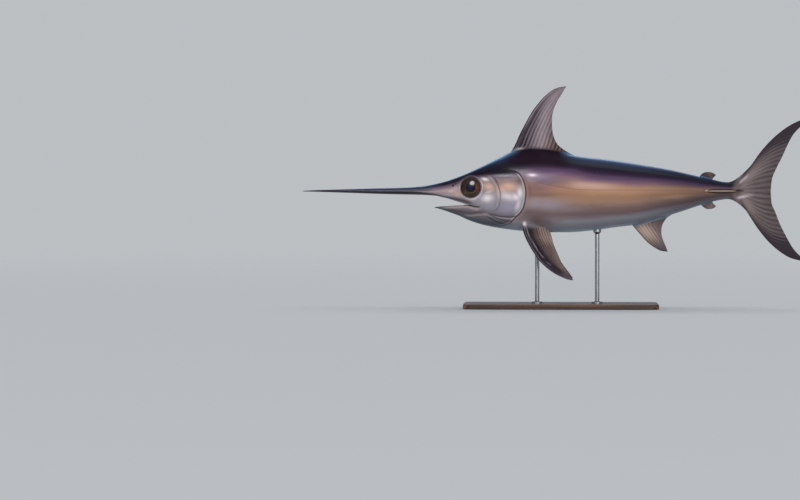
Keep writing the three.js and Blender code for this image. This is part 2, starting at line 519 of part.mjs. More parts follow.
node("pectoral_fin_right", geometryFrom(largest(pectoral(1).subtract(nearBody))), materials.fin);
node("stand_base", geometryFrom(basePlate()), materials.base);
node("stand_rod_front", geometryFrom(rod(ROD_FRONT_X)), materials.rod);
node("stand_rod_rear", geometryFrom(rod(ROD_REAR_X)), materials.rod);

export default group;
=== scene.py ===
import json
import math

import bmesh
import bpy
import numpy as np
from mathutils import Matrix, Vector

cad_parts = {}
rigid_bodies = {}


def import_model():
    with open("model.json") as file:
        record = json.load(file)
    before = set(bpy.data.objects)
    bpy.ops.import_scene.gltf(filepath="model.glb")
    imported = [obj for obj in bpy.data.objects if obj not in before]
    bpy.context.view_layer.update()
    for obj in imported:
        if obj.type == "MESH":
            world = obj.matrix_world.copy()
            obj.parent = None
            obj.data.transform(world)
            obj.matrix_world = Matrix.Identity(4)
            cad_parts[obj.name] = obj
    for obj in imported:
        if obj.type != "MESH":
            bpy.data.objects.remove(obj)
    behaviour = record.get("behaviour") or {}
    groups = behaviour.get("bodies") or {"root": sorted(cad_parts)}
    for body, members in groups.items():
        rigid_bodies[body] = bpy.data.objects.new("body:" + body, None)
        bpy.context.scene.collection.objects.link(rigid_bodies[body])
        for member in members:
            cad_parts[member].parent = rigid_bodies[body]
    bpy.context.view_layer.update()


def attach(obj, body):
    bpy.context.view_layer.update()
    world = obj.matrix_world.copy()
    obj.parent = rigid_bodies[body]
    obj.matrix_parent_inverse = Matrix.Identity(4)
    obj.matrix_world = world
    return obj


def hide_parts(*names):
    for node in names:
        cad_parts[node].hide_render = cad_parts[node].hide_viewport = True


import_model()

AXIS = 700.0
CORNER = -441.0  # the corner of the mouth
JAW_TIP = -716.0
PED = 1029.0  # the narrowest place of the tail stalk
EDGE = 0.8  # half thickness of a fin's margin


# ------------------------------------------------------------------ curves
def curve(stations):
    xs = np.array([p[0] for p in stations], float)
    ys = np.array([p[1] for p in stations], float)
    n = len(xs)
    h = np.diff(xs)
    d = np.diff(ys) / h
    m = np.zeros(n)
    for i in range(1, n - 1):
        if d[i - 1] * d[i] > 0:
            w1, w2 = 2 * h[i] + h[i - 1], h[i] + 2 * h[i - 1]
            m[i] = (w1 + w2) / (w1 / d[i - 1] + w2 / d[i])
    m[0], m[-1] = d[0], d[-1]

    def f(x):
        x = np.clip(np.asarray(x, float), xs[0], xs[-1])
        i = np.clip(np.searchsorted(xs, x, side="right") - 1, 0, n - 2)
        t = (x - xs[i]) / h[i]
        t2, t3 = t * t, t * t * t
        return (2 * t3 - 3 * t2 + 1) * ys[i] + (t3 - 2 * t2 + t) * h[i] * m[i] + (-2 * t3 + 3 * t2) * ys[i + 1] + (t3 - t2) * h[i] * m[i + 1]

    return f


def softened(f, lo, hi, sigma):
    xs = np.arange(lo, hi + 1, 1.0)
    ys = f(xs)
    pad = int(4 * sigma)
    k = np.exp(-0.5 * (np.arange(-pad, pad + 1) / sigma) ** 2)
    k /= k.sum()
    left = ys[0] + (ys[1] - ys[0]) * np.arange(-pad, 0)
    right = ys[-1] + (ys[-1] - ys[-2]) * np.arange(1, pad + 1)
    s = np.convolve(np.concatenate([left, ys, right]), k, "valid")
    return lambda x: np.interp(x, xs, s)


def path(points):
    p = np.array(points, float)
    s = np.concatenate([[0], np.cumsum(np.hypot(*np.diff(p, axis=0).T))])
    s /= s[-1]
    fx, fz = curve(list(zip(s, p[:, 0]))), curve(list(zip(s, p[:, 1])))
    t = np.linspace(0, 1, 401)
    k = np.exp(-0.5 * (np.arange(-24, 25) / 7.0) ** 2)
    k /= k.sum()

    def smooth(v):
        left = v[0] + (v[1] - v[0]) * np.arange(-24, 0)
        right = v[-1] + (v[-1] - v[-2]) * np.arange(1, 25)
        return np.convolve(np.concatenate([left, v, right]), k, "valid")

    gx, gz = smooth(fx(t)), smooth(fz(t))
    gx[0], gz[0], gx[-1], gz[-1] = p[0, 0], p[0, 1], p[-1, 0], p[-1, 1]
    return lambda u: (np.interp(u, t, gx), np.interp(u, t, gz))


def step(x, lo, hi):
    t = np.clip((np.asarray(x, float) - lo) / (hi - lo), 0, 1)
    return t * t * (3 - 2 * t)


def bump(x, width):
    return np.exp(-((np.asarray(x, float) / width) ** 2))


# ------------------------------------------------------------------ the body's outline
TOP = softened(curve([(-1500, -4), (-1393, 1), (-1215, 6), (-1038, 11), (-919, 13.5), (-800, 21), (-717, 35),
    (-640, 55), (-534, 94), (-430, 142), (-324, 195), (-255, 226), (-160, 236), (-40, 229), (60, 214), (148, 199),
    (312, 180), (493, 153), (676, 121), (857, 79), (934, 62), (990, 49), (PED, 45)]), -1500, PED, 9)
BOT = softened(curve([(-716, -103), (-668, -117), (-589, -144), (-504, -181), (-430, -205), (-324, -226),
    (-191, -242), (-33, -250), (74, -250), (267, -233), (358, -220), (465, -207), (585, -175), (721, -135),
    (866, -87), (978, -58), (PED, -51)]), -716, PED, 9)
HALF = softened(curve([(-1500, 4), (-1476, 9), (-1393, 15), (-1215, 22), (-1038, 28), (-919, 33), (-800, 43), (-717, 55),
    (-652, 66), (-575, 78), (-498, 88), (-441, 95), (-377, 105), (-255, 125), (-166, 139), (-60, 151), (60, 159),
    (208, 161), (356, 154), (504, 139), (652, 116), (800, 86), (889, 66), (978, 47), (PED, 37)]), -1500, PED, 16)
MID = softened(curve([(-1500, -6), (-1215, -6), (-1038, -7), (-919, -8), (-800, -12), (-717, -27), (-652, -33),
    (-575, -30), (-500, -22), (-441, -14), (-324, -6), (-166, -2), (0, -8), (300, -10), (600, -6), (PED, -3)]), -1500, PED, 16)
FULL = softened(curve([(-1500, 2), (-1100, 1.8), (-800, 1.9), (-650, 2.3), (-500, 2.5), (-300, 2.3), (0, 2.15),
    (700, 2.05), (PED, 2)]), -1500, PED, 20)
# The mouth: the last row of the upper lip, and the first of the lower.
LIP_DROP = curve([(-717, 0), (-652, 10), (-575, 36), (-534, 52), (-505, 63), (-490, 68.5), (-475, 75), (-460, 80.5), (-450, 84), (CORNER, 87)])
ROOF = curve([(-1500, -8), (-1393, -11), (-1215, -17), (-1038, -23), (-919, -26), (-800, -28.5), (-717, -33),
    (-652, -40), (-575, -54), (-534, -72), (-505, -81.5), (-490, -86.5), (-475, -91.5), (-460, -95.5), (-450, -98.3), (CORNER, -101)])
JAW_ROW = curve([(JAW_TIP, -102.5), (-690, -100.3), (-652, -97), (-600, -94), (-575, -92.6), (-545, -91), (-528, -91.2),
    (-510, -93.6), (-490, -98.2), (-475, -101.6), (-460, -103.8), (-450, -103.6), (CORNER, -101)])
JAW_HALF = curve([(JAW_TIP, 2), (-690, 17), (-652, 32), (-575, 57), (-500, 80), (CORNER, 95)])
JAW_DROP = curve([(JAW_TIP, 0), (-652, 2), (-575, 12), (-500, 45), (CORNER, 87)])
JAW_FLOOR = curve([(JAW_TIP, -103.2), (-690, -106), (-652, -111), (-590, -112), (-560, -97), (-534, -86.5), (-505, -88.5), (-490, -91.5),
    (-475, -95.5), (-460, -98.8), (-450, -100.2), (CORNER, -101)])
# The lower margin of the bill and of the upper jaw.
MARGIN = curve([(-1500, -9), (-1215, -18), (-1038, -23), (-919, -26), (-800, -29), (-741, -34), (-688, -41), (-635, -53),
    (-582, -67), (-534, -80), (-505, -88), (-480, -94.5), (-460, -98.5), (CORNER, -101), (-420, -101)])

# Lines on the head, as X against height or height against X.
GILL = curve([(-235, -322), (-214, -297), (-205, -289), (-193, -265), (-172, -246), (-158, -233), (-135, -208), (-100, -187),
    (-60, -177), (-13, -173.5), (30, -179), (65, -191), (93, -210), (114, -240), (128, -270), (150, -312), (215, -380)])
PREOP = curve([(-140, -420), (-125, -384), (-118, -352), (-99, -332), (-69, -324), (-33, -320.5), (-17, -321.5), (6, -327),
    (29, -336), (55, -351), (76, -367), (90, -384), (104, -410)])
COVER_FOOT = curve([(-400, -138), (-393, -139), (-351, -149), (-313, -156), (-266, -158.5), (-235, -155)])
GROOVE = curve([(-640, -111), (-609, -119), (-556, -131), (-503, -137.5), (-450, -133), (-397, -128)])
FOLDS = [curve([(-396, -144), (-374, -151), (-346, -163), (-313, -174.5), (-280, -184), (-255, -181)]),
    curve([(-400, -156), (-388, -163), (-367, -177), (-344, -188.5), (-313, -198), (-290, -203), (-268, -195)])]
LATERAL = curve([(-130, 44), (-60, 34), (20, 20), (90, 9), (160, 2), (500, 0), (890, -3)])
# Where the dark back ends.
DARK = softened(curve([(-1500, -3), (-1038, 0), (-800, 5), (-741, 11), (-680, 24), (-600, 44), (-540, 66), (-500, 82), (-440, 91),
    (-383, 91), (-250, 93), (-190, 116), (-154, 130), (-12, 132), (101, 124), (214, 97), (328, 87), (498, 74), (593, 68),
    (700, 59), (800, 47), (900, 32), (PED, 20)]), -1500, PED, 10)


def angle_of(drop, depth, n):
    return -np.arcsin(np.clip(np.maximum(0, drop) / depth, 0, 1) ** (n / 2))


def superellipse(a, half, up, down, mid, n):
    s, c = np.sin(a), np.cos(a)
    tall = np.where(s >= 0, up, down)
    return half * np.abs(c) ** (2 / n), mid + tall * np.sign(s) * np.abs(s) ** (2 / n)


def section(x, a):
    """Half section of the body at x: how far out and how high the skin lies at the angle a."""
    return superellipse(a, HALF(x), TOP(x) - MID(x), MID(x) - BOT(x), MID(x), FULL(x))


def jaw_section(x, a):
    mid = JAW_ROW(x) + JAW_DROP(x)
    return superellipse(a, JAW_HALF(x), 1.0 + 0 * mid, mid - BOT(x), mid, FULL(x))


def spaced(x, a0, a1, m, f=section):
    """Angles from a0 to a1 at each x, m equal steps along the surface."""
    t = np.linspace(0, 1, 121)
    a = a0[:, None] + (a1 - a0)[:, None] * t
    y, z = f(x[:, None] + 0 * a, a)
    s = np.concatenate([np.zeros((len(x), 1)), np.cumsum(np.hypot(np.diff(y, axis=1), np.diff(z, axis=1)), 1)], 1)
    s /= np.maximum(s[:, -1:], 1e-9)
    want = np.linspace(0, 1, m + 1)
    return np.array([np.interp(want, s[i], a[i]) for i in range(len(x))])


# ------------------------------------------------------------------ stations along the fish and rows round it
NU, NP, NL, NM = 46, 13, 15, 13
X = np.unique(np.round(np.concatenate([
    -1500 + np.array([0, 0.5, 1.8, 4, 7, 11, 17, 26, 38]), np.linspace(-1436, -770, 27), np.linspace(-763, -604, 24),
    np.linspace(-598, CORNER, 46), np.linspace(-437, -262, 44), np.linspace(-257.7, -186, 17), np.linspace(-183, -162, 9),
    np.linspace(-158, 116, 64), np.linspace(126, 447, 26), np.linspace(457, 693, 44), np.linspace(702, 843, 14),
    np.linspace(852, PED, 36)]), 3))


def nearest(x):
    return float(X[np.argmin(np.abs(X - x))])


# ------------------------------------------------------------------ the upright fins
def fin_widths(s, v, thick, nose_end, rear_start, taper):
    nose = np.sqrt(np.clip(1 - (1 - np.clip(s / nose_end, 0, 1)) ** 2, 0, 1))
    rear = np.sqrt(np.clip(1 - np.clip((s - rear_start) / (1 - rear_start), 0, 1) ** 2, 0, 1))
    rim = np.sqrt(np.clip(1 - np.clip((v - 0.975) / 0.025, 0, 1) ** 2, 0, 1))
    return nose * rear * rim, np.maximum(EDGE, thick * (1 - taper * s) * np.clip(1 - v, 0, 1) ** 0.8)


def coons(base, lead, margin, start, end, tip, s, v):
    return [(1 - v) * base[k] + v * margin[k] + (1 - s) * lead[k] + s * end[k]
            - (1 - s) * (1 - v) * start[k] - s * (1 - v) * end[k] - (1 - s) * v * tip[k] - s * v * end[k] for k in (0, 1)]


class Upright:
    def __init__(self, x0, x1, up, lead, trail, thick, fillet, rays):
        x0, x1 = nearest(x0), nearest(x1)
        self.x0, self.x1, self.up = x0, x1, up
        self.line = TOP if up > 0 else BOT
        self.lead = path([(x0, float(self.line(x0)))] + lead)
        self.trail = path([(x1, float(self.line(x1)))] + trail)
        self.thick, self.fillet, self.rays = thick, fillet, rays

    def foot(self, s):
        return self.fillet * (1 - 0.85 * step(s, 0.62, 0.97))

    def behind(self, px, pz):
        """How far behind the leading edge a point lies, in mm, and how high up the fin, from 0 to 1."""
        lx, lz = self.lead(np.linspace(0, 1, 201))
        high = np.clip((pz - lz[0]) / (lz[-1] - lz[0]), 0, 1)
        return px - np.interp(self.up * pz, self.up * lz, lx), high

    def widths(self, s, v):
        return fin_widths(s, v, self.thick, 0.14, 0.93, 0.7)

    def root_width(self, x):
        s = (np.asarray(x, float) - self.x0) / (self.x1 - self.x0)
        inside = (s > 1e-6) & (s < 1 - 1e-6)
        s = np.clip(s, 0, 1)
        e, t = self.widths(s, 0 * s)
        return np.where(inside, e * (t + self.foot(s)), 0.0)

    def sheet(self, xs, root, v):
        s = ((xs - self.x0) / (self.x1 - self.x0))[:, None]
        v = v[None, :]
        base = (xs[:, None], self.line(xs)[:, None])
        start, end = (self.x0, float(self.line(self.x0))), (self.x1, float(self.line(self.x1)))
        px, pz = coons(base, self.lead(v), self.trail(1 - s), start, end, self.trail(1.0), s, v)
        h = np.maximum(0, self.up * (pz - self.line(px)))
        e, t = self.widths(s + 0 * v, v + 0 * s)
        foot = self.foot(s)
        q = np.clip(h / foot, 0, 1)
        y = e * (t + foot * (1 - np.sqrt(np.clip(1 - (1 - q) ** 2, 0, 1))))
        n = FULL(px)
        tall = np.abs(self.line(px) - MID(px))
        sag = tall * (1 - np.clip(1 - (y / HALF(px)) ** n, 0, 1) ** (1 / n))
        pz = pz - self.up * sag * (1 - q) ** 2
        out = np.stack([px, y, pz], -1)
        out[:, 0, 0], out[:, 0, 1], out[:, 0, 2] = xs, root[:, 0], root[:, 1]
        out[0, :, 1] = 0
        out[-1, :, 1] = 0
        out[:, -1, 1] = 0
        # The rear corner of the base closes on one point.
        out[-1, 1:] = out[-1, :1]
        return out, s + 0 * v, v + 0 * s, h


DORSAL = Upright(-262, 116, 1,
    [(-234, 273), (-210, 328), (-172, 401), (-136, 464), (-99, 514), (-62, 555), (-26, 585), (10, 605), (66, 614)],
    [(78, 222), (46, 243), (18, 267), (-2, 300), (-14, 342), (-18, 388), (-17, 437), (-6, 482), (12, 524), (34, 560), (66, 614)],
    11, 15, 16)
ANAL = Upright(457, 693, -1,
    [(480, -235), (503, -262), (530, -293), (561, -321), (594, -343), (630, -360), (666, -364)],
    [(668, -158), (648, -180), (632, -212), (628, -248), (637, -290), (655, -334), (666, -364)],
    8, 11, 11)
DORSAL2 = Upright(852, 928, 1, [(862, 92), (878, 103), (900, 107), (928, 103), (949, 89)], [(934, 73), (949, 89)], 4, 5, 7)
ANAL2 = Upright(862, 928, -1, [(872, -97), (886, -108), (905, -113), (932, -109), (951, -96)], [(934, -80), (951, -96)], 4, 5, 7)

# The paired fins.
PEC_X0, PEC_X1 = -192.0, -44.0
PEC_BASE = curve([(-192, -190), (-168, -187), (-145, -188), (-107, -199), (-84, -211), (-44, -230)])
PEC_FRONT = [(-192, -214), (-188, -240), (-178, -270), (-164, -301), (-134, -354), (-96, -410), (-54, -452), (-1, -490), (44, -512),
    (86, -527), (108, -528)]
PEC_LEAD = path([(-192, -190)] + PEC_FRONT)
PEC_THICK, PEC_FILLET = 10.0, 11.0


def pec_widths(s, v):
    return fin_widths(s, v, PEC_THICK, 0.16, 0.92, 0.72)


# ------------------------------------------------------------------ fields on the head
def flank_at(x, z):
    n, up = FULL(x), z >= MID(x)
    u = (z - MID(x)) / (TOP(x) - MID(x)) if up else (MID(x) - z) / (MID(x) - BOT(x))
    return float(HALF(x) * max(0.0, 1 - min(1.0, u) ** n) ** (1 / n))


EYE_R = 58.0
EYE_C = np.array([-497.0, flank_at(-497.0, 16.0), 16.0])
EYE_N = np.array([-(flank_at(-467.0, 16.0) - flank_at(-527.0, 16.0)) / 60, 1.0, -(flank_at(-497.0, 46.0) - flank_at(-497.0, -14.0)) / 60])
EYE_N /= np.linalg.norm(EYE_N)


def eye_distance(p):
    q = p * [1, 0, 1] + np.abs(p) * [0, 1, 0] - EYE_C
    along = q @ EYE_N
    return np.sqrt(np.maximum(0, (q * q).sum(-1) - along ** 2))


NOSTRILS = [(-602.0, 27.0, 7.6), (-587.0, 36.0, 4.0)]


def across(value, f, u):
    """Distance of value from the line f at u, square to the line."""
    return (value - f(u)) / np.sqrt(1 + (f(u + 0.5) - f(u - 0.5)) ** 2)


def head_lines(p):
    x, z = p[..., 0], p[..., 2]
    gill, preop, foot = across(x, GILL, z), across(x, PREOP, z), across(z, COVER_FOOT, x)
    groove, lateral = across(z, GROOVE, x), across(z, LATERAL, x)
    folds = [across(z, f, x) for f in FOLDS]
    fold_on = step(x, -402, -376) * step(gill, 2, -5)
    gill_on = step(z, 136, 106) * step(z, -208, -184)
    preop_on = step(z, 98, 72) * step(z, -132, -112) * (0.55 + 0.45 * step(z, -70, -10))
    foot_on = step(x, -405, -385) * step(gill, 4, -2)
    groove_on = step(x, -650, -590) * step(x, -380, -440)
    lateral_on = step(x, -150, -90) * step(x, 905, 880)
    return dict(gill=gill, gill_on=gill_on, preop=preop, preop_on=preop_on, foot=foot, foot_on=foot_on, groove=groove,
                groove_on=groove_on, lateral=lateral, lateral_on=lateral_on, fold_a=folds[0], fold_b=folds[1], fold_on=fold_on)


def relief(p, fin):
    """How far the skin stands out from the plain form."""
    x, y, z = p[..., 0], np.abs(p[..., 1]), p[..., 2]
    f = head_lines(p)
    gill, preop, foot, groove = f["gill"], f["preop"], f["foot"], f["groove"]
    out = np.zeros_like(x)
    # The free edge of the gill cover, with its rim and the slit behind it.
    sharp = step(z, 118, 84) * step(z, -200, -172)
    out += sharp * np.where(gill < 0, 2.2 * np.exp(np.minimum(gill, 0) / 70.0),
                            2.2 - 4.6 * step(gill, 0, 3.4) + 2.4 * step(gill, 4.0, 26))
    out -= 0.4 * (f["gill_on"] - sharp) * bump(gill - 1, 6)
    # The cheek bone's rear edge, a line with a low rim before it, and the foot of the gill cover.
    out += f["preop_on"] * (-1.2 * bump(preop, 4.6) + 0.1 * bump(preop + 12, 8))
    out += f["foot_on"] * (-1.5 * bump(foot, 4.2) + 0.4 * bump(foot - 10, 7))
    # Folds of the throat under the gill cover.
    out += f["fold_on"] * (-1.7 * bump(f["fold_a"], 3.4) - 1.7 * bump(f["fold_b"], 3.4) + 0.8 * bump(foot + 9, 6) + 0.8 * bump(foot + 25, 6))
    # The jaw bone: its groove and the ridge under it.
    out += f["groove_on"] * (-2.0 * bump(groove, 5.5) + 1.6 * bump(groove + 13, 7.5) - 1.0 * bump(groove + 25, 5))
    # The pad where the two jaws meet.
    d = np.hypot(x - (CORNER + 9), (z + 101) * 1.1)
    out += step(x, CORNER + 1, CORNER + 6) * (1.5 * bump(d - 9, 5) - 1.2 * bump(d - 19, 5))
    # Socket, with a rim round the eye.
    r = eye_distance(p)
    out += step(y, 20, 40) * (0.45 * bump(r - 70, 4.0) - 0.3 * bump(r - 64, 3.0) - 15.0 * (1 - step(r, 53.5, 60.0)))
    # Nostrils.
    for nx, nz, rad in NOSTRILS:
        d = np.hypot(x - nx, z - nz)
        out += step(y, 8, 20) * (-6.0 * (1 - step(d, 0.25 * rad, 1.1 * rad)) + 0.4 * bump(d - rad - 3, 3.0))
    # The lateral line.
    out += f["lateral_on"] * (-0.9 * bump(f["lateral"], 3.0))
    return out * (1 - step(fin, 0.0, 0.15)) * step(x, -735, -690)


def keel_out(x, z):
    t = np.clip((x - 866) / (1112 - 866), 0, 1)
    tall = np.interp(t, [0, 0.05, 0.12, 0.25, 0.42, 0.6, 0.75, 0.88, 0.95, 1.0], [0, 5, 13, 25, 35, 38, 32, 17, 7, 0])
    k = np.clip(np.abs(z + 4) / 13.5, 0, 1)
    big = tall * (1 - k ** 1.25) ** 1.9
    low_line = -47 + (x - 1071) * 0.2
    low = 5.5 * step(x, 1056, 1092) * step(x, 1200, 1140) * bump(z - low_line, 6.5)
    high = 4.0 * step(x, 1082, 1112) * step(x, 1185, 1135) * bump(z - 11, 5.5)
    return big + low + high


# ------------------------------------------------------------------ the strips of the skin
strips = []


def strip(points, rect, **fields):
    """A grid of points for the right half, which is mirrored to the left. rect is its place in the unwrap."""
    a, b = points.shape[:2]
    strips.append((points, rect, {k: np.broadcast_to(np.asarray(v, float), (a, b)) for k, v in fields.items()}))


def warp(x, z):
    w = step(x, CORNER, -172) * step(x, -20, -172)
    return x + w * (GILL(z) + 172) * (1 - step(z, 118, 196)) * (1 - step(z, -196, -232))


def settle(x, a):
    """Points of the body for stations x and angles a, with the grid bent along the gill opening."""
    x0 = x[:, None] + 0 * a
    xx = x0.copy()
    for _ in range(7):
        y, z = section(xx, a)
        xx = warp(x0, z)
    y, z = section(xx, a)
    return np.stack([xx, y, z], -1)


head = X <= CORNER + 1e-6
body = X >= CORNER - 1e-6
nX, hX = FULL(X), HALF(X)
a_top = np.arccos(np.clip((DORSAL.root_width(X) + DORSAL2.root_width(X)) / hX, 0, 1) ** (nX / 2))
a_bot = -np.arccos(np.clip((ANAL.root_width(X) + ANAL2.root_width(X)) / hX, 0, 1) ** (nX / 2))
corner_angle = float(angle_of(LIP_DROP(CORNER), MID(CORNER) - BOT(CORNER), FULL(CORNER)))
lip_angle = np.where(X < CORNER, angle_of(LIP_DROP(X), MID(X) - BOT(X), nX), corner_angle)

# Upper side, from the lip line to the back, whole length.
a_up = spaced(X, lip_angle, a_top, NU)
up = settle(X, a_up)
tip = np.sqrt(np.clip(1 - (1 - np.clip((X + 1500) / 16, 0, 1)) ** 2, 0, 1))[:, None]
up[..., 1] *= tip
up[..., 2] = np.where(tip < 1, -6 + (up[..., 2] + 6) * tip, up[..., 2])
up[a_top > math.pi / 2 - 1e-9, -1, 1] = 0

# Lower side behind the mouth, in two bands on either side of the paired fin's base line.
Xb = X[body]
ab, lb = a_bot[body], lip_angle[body]
PEC_ANGLE = curve([(-441, -50), (-300, -48), (-192, -49), (-145, -48), (-107, -52), (-44, -63), (40, -62), (PED, -58)])
exact = -np.arcsin(np.clip((MID(Xb) - PEC_BASE(Xb)) / (MID(Xb) - BOT(Xb)), 0, 1) ** (FULL(Xb) / 2))
near = step(Xb, -330, -205) * step(Xb, 110, -35)
pb = near * exact + (1 - near) * np.radians(PEC_ANGLE(Xb))
centre = settle(Xb, pb[:, None])[:, 0]
i0, i1 = int(np.argmin(np.abs(centre[:, 0] - PEC_X0))), int(np.argmin(np.abs(centre[:, 0] - PEC_X1)))
pec_s = np.clip((centre[:, 0] - centre[i0, 0]) / (centre[i1, 0] - centre[i0, 0]), 0, 1)
e, t = pec_widths(pec_s, 0 * pec_s)
root_half = e * (t + PEC_FILLET)
root_half[:i0 + 1] = 0
root_half[i1:] = 0
ya, za = section(Xb, pb - 0.01)
yb, zb = section(Xb, pb + 0.01)
da = root_half / (np.hypot(yb - ya, zb - za) / 0.02)
low_band, mid_band = spaced(Xb, ab, pb - da, NP), spaced(Xb, pb + da, lb, NL)
low, mid = settle(Xb, low_band), settle(Xb, mid_band)
low[ab < -math.pi / 2 + 1e-9, 0, 1] = 0
mid[:, -1] = up[body][:, 0]
mid[root_half == 0, 0] = low[root_half == 0, -1]

# The lower jaw's outer side, from its own tip to the corner of the mouth.
Xj = JAW_TIP + (CORNER - JAW_TIP) * np.linspace(0, 1, 58) ** 1.1
jl = angle_of(JAW_DROP(Xj), JAW_ROW(Xj) + JAW_DROP(Xj) - BOT(Xj), FULL(Xj))
jb = np.full(len(Xj), -math.pi / 2)
jp = jb + (jl - jb) * (pb[0] + math.pi / 2) / (corner_angle + math.pi / 2)


def jaw_points(a):
    xx = Xj[:, None] + 0 * a
    y, z = jaw_section(xx, a)
    return np.stack([xx, y, z], -1)


jaw_low, jaw_mid = jaw_points(spaced(Xj, jb, jp, NP, jaw_section)), jaw_points(spaced(Xj, jp, jl, NL, jaw_section))
jaw_low[:, 0, 1] = 0
jaw_low[-1], jaw_mid[-1] = low[0], mid[0]
jaw_mid[:, 0] = jaw_low[:, -1]
point = np.array([JAW_TIP - 1.5, 0, -102.5])
jaw_low[0], jaw_mid[0] = point, point


# The roof and the floor of the mouth, each beginning with a rounded lip.
def mouth_side(xs, lip, inner, sign):
    """From the lip's outer row round the lip and on to the middle; sign is +1 for the roof, -1 for the floor."""
    y0 = lip[:, 1:2]
    k = np.minimum(1, y0 / 14) * (1 - step(xs, CORNER - 11, CORNER))[:, None]
    first = np.array([0, 0.35, 1.1, 2.2, 3.6, 5.6])[None, :] * np.maximum(k, 0.15) * np.minimum(1, y0 / 9)
    rest = first[:, -1:] + (y0 - first[:, -1:]) * (np.arange(1, NM - 4) / (NM - 5))[None, :] ** 0.9
    d = np.minimum(np.concatenate([first, rest], 1), y0)
    c = np.clip(d / np.maximum(1.8 * k, 1e-6), 0, 1)
    dip = 2 * k * np.sqrt(1 - (1 - c) ** 2)
    fade = 3.6 * k + np.maximum(np.minimum(24, 0.8 * y0), 1e-3)
    u = np.clip((d - 3.6 * k) / (fade - 3.6 * k), 0, 1)
    rise = u * u * (3 - 2 * u)
    target = lip[:, 2:3] * (1 - rise) + inner[:, None] * rise
    return np.stack([xs[:, None] + 0 * d, y0 - d, target - sign * dip * (1 - rise)], -1)


lip = up[head][:, 0]
Xh = X[head]
n = FULL(Xh)[:, None]
f = np.linspace(0, math.pi / 2, NM + 1)[None, :]
oval = np.stack([Xh[:, None] + 0 * f, lip[:, 1:2] * np.abs(np.cos(f)) ** (2 / n),
                 lip[:, 2:3] + (ROOF(Xh)[:, None] - lip[:, 2:3]) * np.abs(np.sin(f)) ** (2 / n)], -1)
oval[..., 2] = np.where(tip[head] < 1, -6 + (oval[..., 2] + 6) * tip[head], oval[..., 2])
w = step(Xh, -740, -672)[:, None, None]
roof = oval * (1 - w) + mouth_side(Xh, lip, ROOF(Xh), 1) * w
floor_ = mouth_side(Xj, jaw_mid[:, -1], JAW_FLOOR(Xj), -1)
roof[:, 0], floor_[:, 0] = lip, jaw_mid[:, -1]
floor_[0] = point
roof[:, -1, 1] = 0
floor_[:, -1, 1] = 0
floor_[-1] = roof[-1]

# The tail fin: the ring at the stalk opens into two lobes.
ring = np.concatenate([low[-1], mid[-1][1:], up[-1][1:]], 0)
ring_a = np.concatenate([low_band[-1], mid_band[-1][1:], a_up[-1][1:]])
zc, zu, zl = float(MID(PED)), float(TOP(PED)), float(BOT(PED))
LEAD_UP = path([(PED, zu), (1042, zu + 2.5), (1067, 63), (1095, 88), (1146, 136), (1215, 231), (1295, 316), (1391, 387), (1453, 415), (1500, 430)])
LEAD_DOWN = path([(PED, zl), (1042, zl - 2.5), (1067, -67), (1095, -91), (1134, -127), (1215, -248), (1282, -327), (1336, -371), (1391, -402), (1453, -417), (1497, -421)])
TRAIL_UP = path([(1271, -2), (1278, 64), (1302, 125), (1336, 193), (1370, 268), (1404, 330), (1453, 381), (1500, 430)])
TRAIL_DOWN = path([(1271, -2), (1276, -78), (1295, -122), (1329, -208), (1364, -276), (1404, -345), (1453, -395), (1497, -421)])
TAIL_THICK = curve([(0, 37), (0.08, 31), (0.17, 20), (0.28, 10), (0.42, 5.5), (0.7, 3), (1, EDGE)])
tail_v = np.concatenate([np.linspace(0, 0.3, 19), np.linspace(0.3, 0.97, 23)[1:], [0.985, 0.995, 1.0]])
r = np.sin(ring_a)[None, :]
v = tail_v[:, None]
s = np.abs(r)


def lobe(lead, trail, z_end):
    root = (PED + 0 * s, zc + s * (z_end - zc))
    ce = (PED + (1271 - PED) * v, zc + (-2 - zc) * v)
    le, mg = lead(v), trail(s)
    c00, c10, c01, c11 = (PED, zc), (PED, z_end), (1271.0, -2.0), [float(q) for q in lead(1.0)]
    return [(1 - v) * root[k] + v * mg[k] + (1 - s) * ce[k] + s * le[k]
            - (1 - s) * (1 - v) * c00[k] - s * (1 - v) * c10[k] - (1 - s) * v * c01[k] - s * v * c11[k] for k in (0, 1)]


ux, uz = lobe(LEAD_UP, TRAIL_UP, zu)
dx, dz = lobe(LEAD_DOWN, TRAIL_DOWN, zl)
tx, tz = np.where(r >= 0, ux, dx), np.where(r >= 0, uz, dz)
rim = np.sqrt(np.clip(1 - np.clip((v - 0.97) / 0.03, 0, 1) ** 2, 0, 1))
ty = np.maximum(TAIL_THICK(v), EDGE) * np.sqrt(np.clip(1 - s ** (2 + 4 * v), 0, 1)) * rim
tail = np.stack([tx + 0 * ty, ty, tz + 0 * ty], -1)
tail[0] = ring
tail[:, 0, 1] = 0
tail[:, -1, 1] = 0
tail[-1, :, 1] = 0

# Stalk and tail fin run into each other.
whole = np.concatenate([low, mid[:, 1:], up[body][:, 1:]], 1)
k0, k1 = int(np.searchsorted(Xb, 990)), int(np.searchsorted(tail_v, 0.13))
run = np.concatenate([whole[k0:], tail[1:k1]], 0)
for _ in range(14):
    run[1:-1] = 0.5 * run[1:-1] + 0.25 * (run[:-2] + run[2:])
run[:, 0, 1] = 0
run[:, -1, 1] = 0
m = len(Xb) - k0
whole[k0:], tail[1:k1] = run[:m], run[m:]
tail[0] = whole[-1]
low[k0:], mid[k0:] = whole[k0:, :NP + 1], whole[k0:, NP:NP + NL + 1]
up[int(np.argmax(body)) + k0:] = whole[k0:, NP + NL:]


# ------------------------------------------------------------------ the fins' sheets
def fin_rows(count, power):
    v = np.linspace(0, 1, count + 1) ** power
    return np.unique(np.concatenate([v[v < 0.968], [0.975, 0.99, 1.0]]))


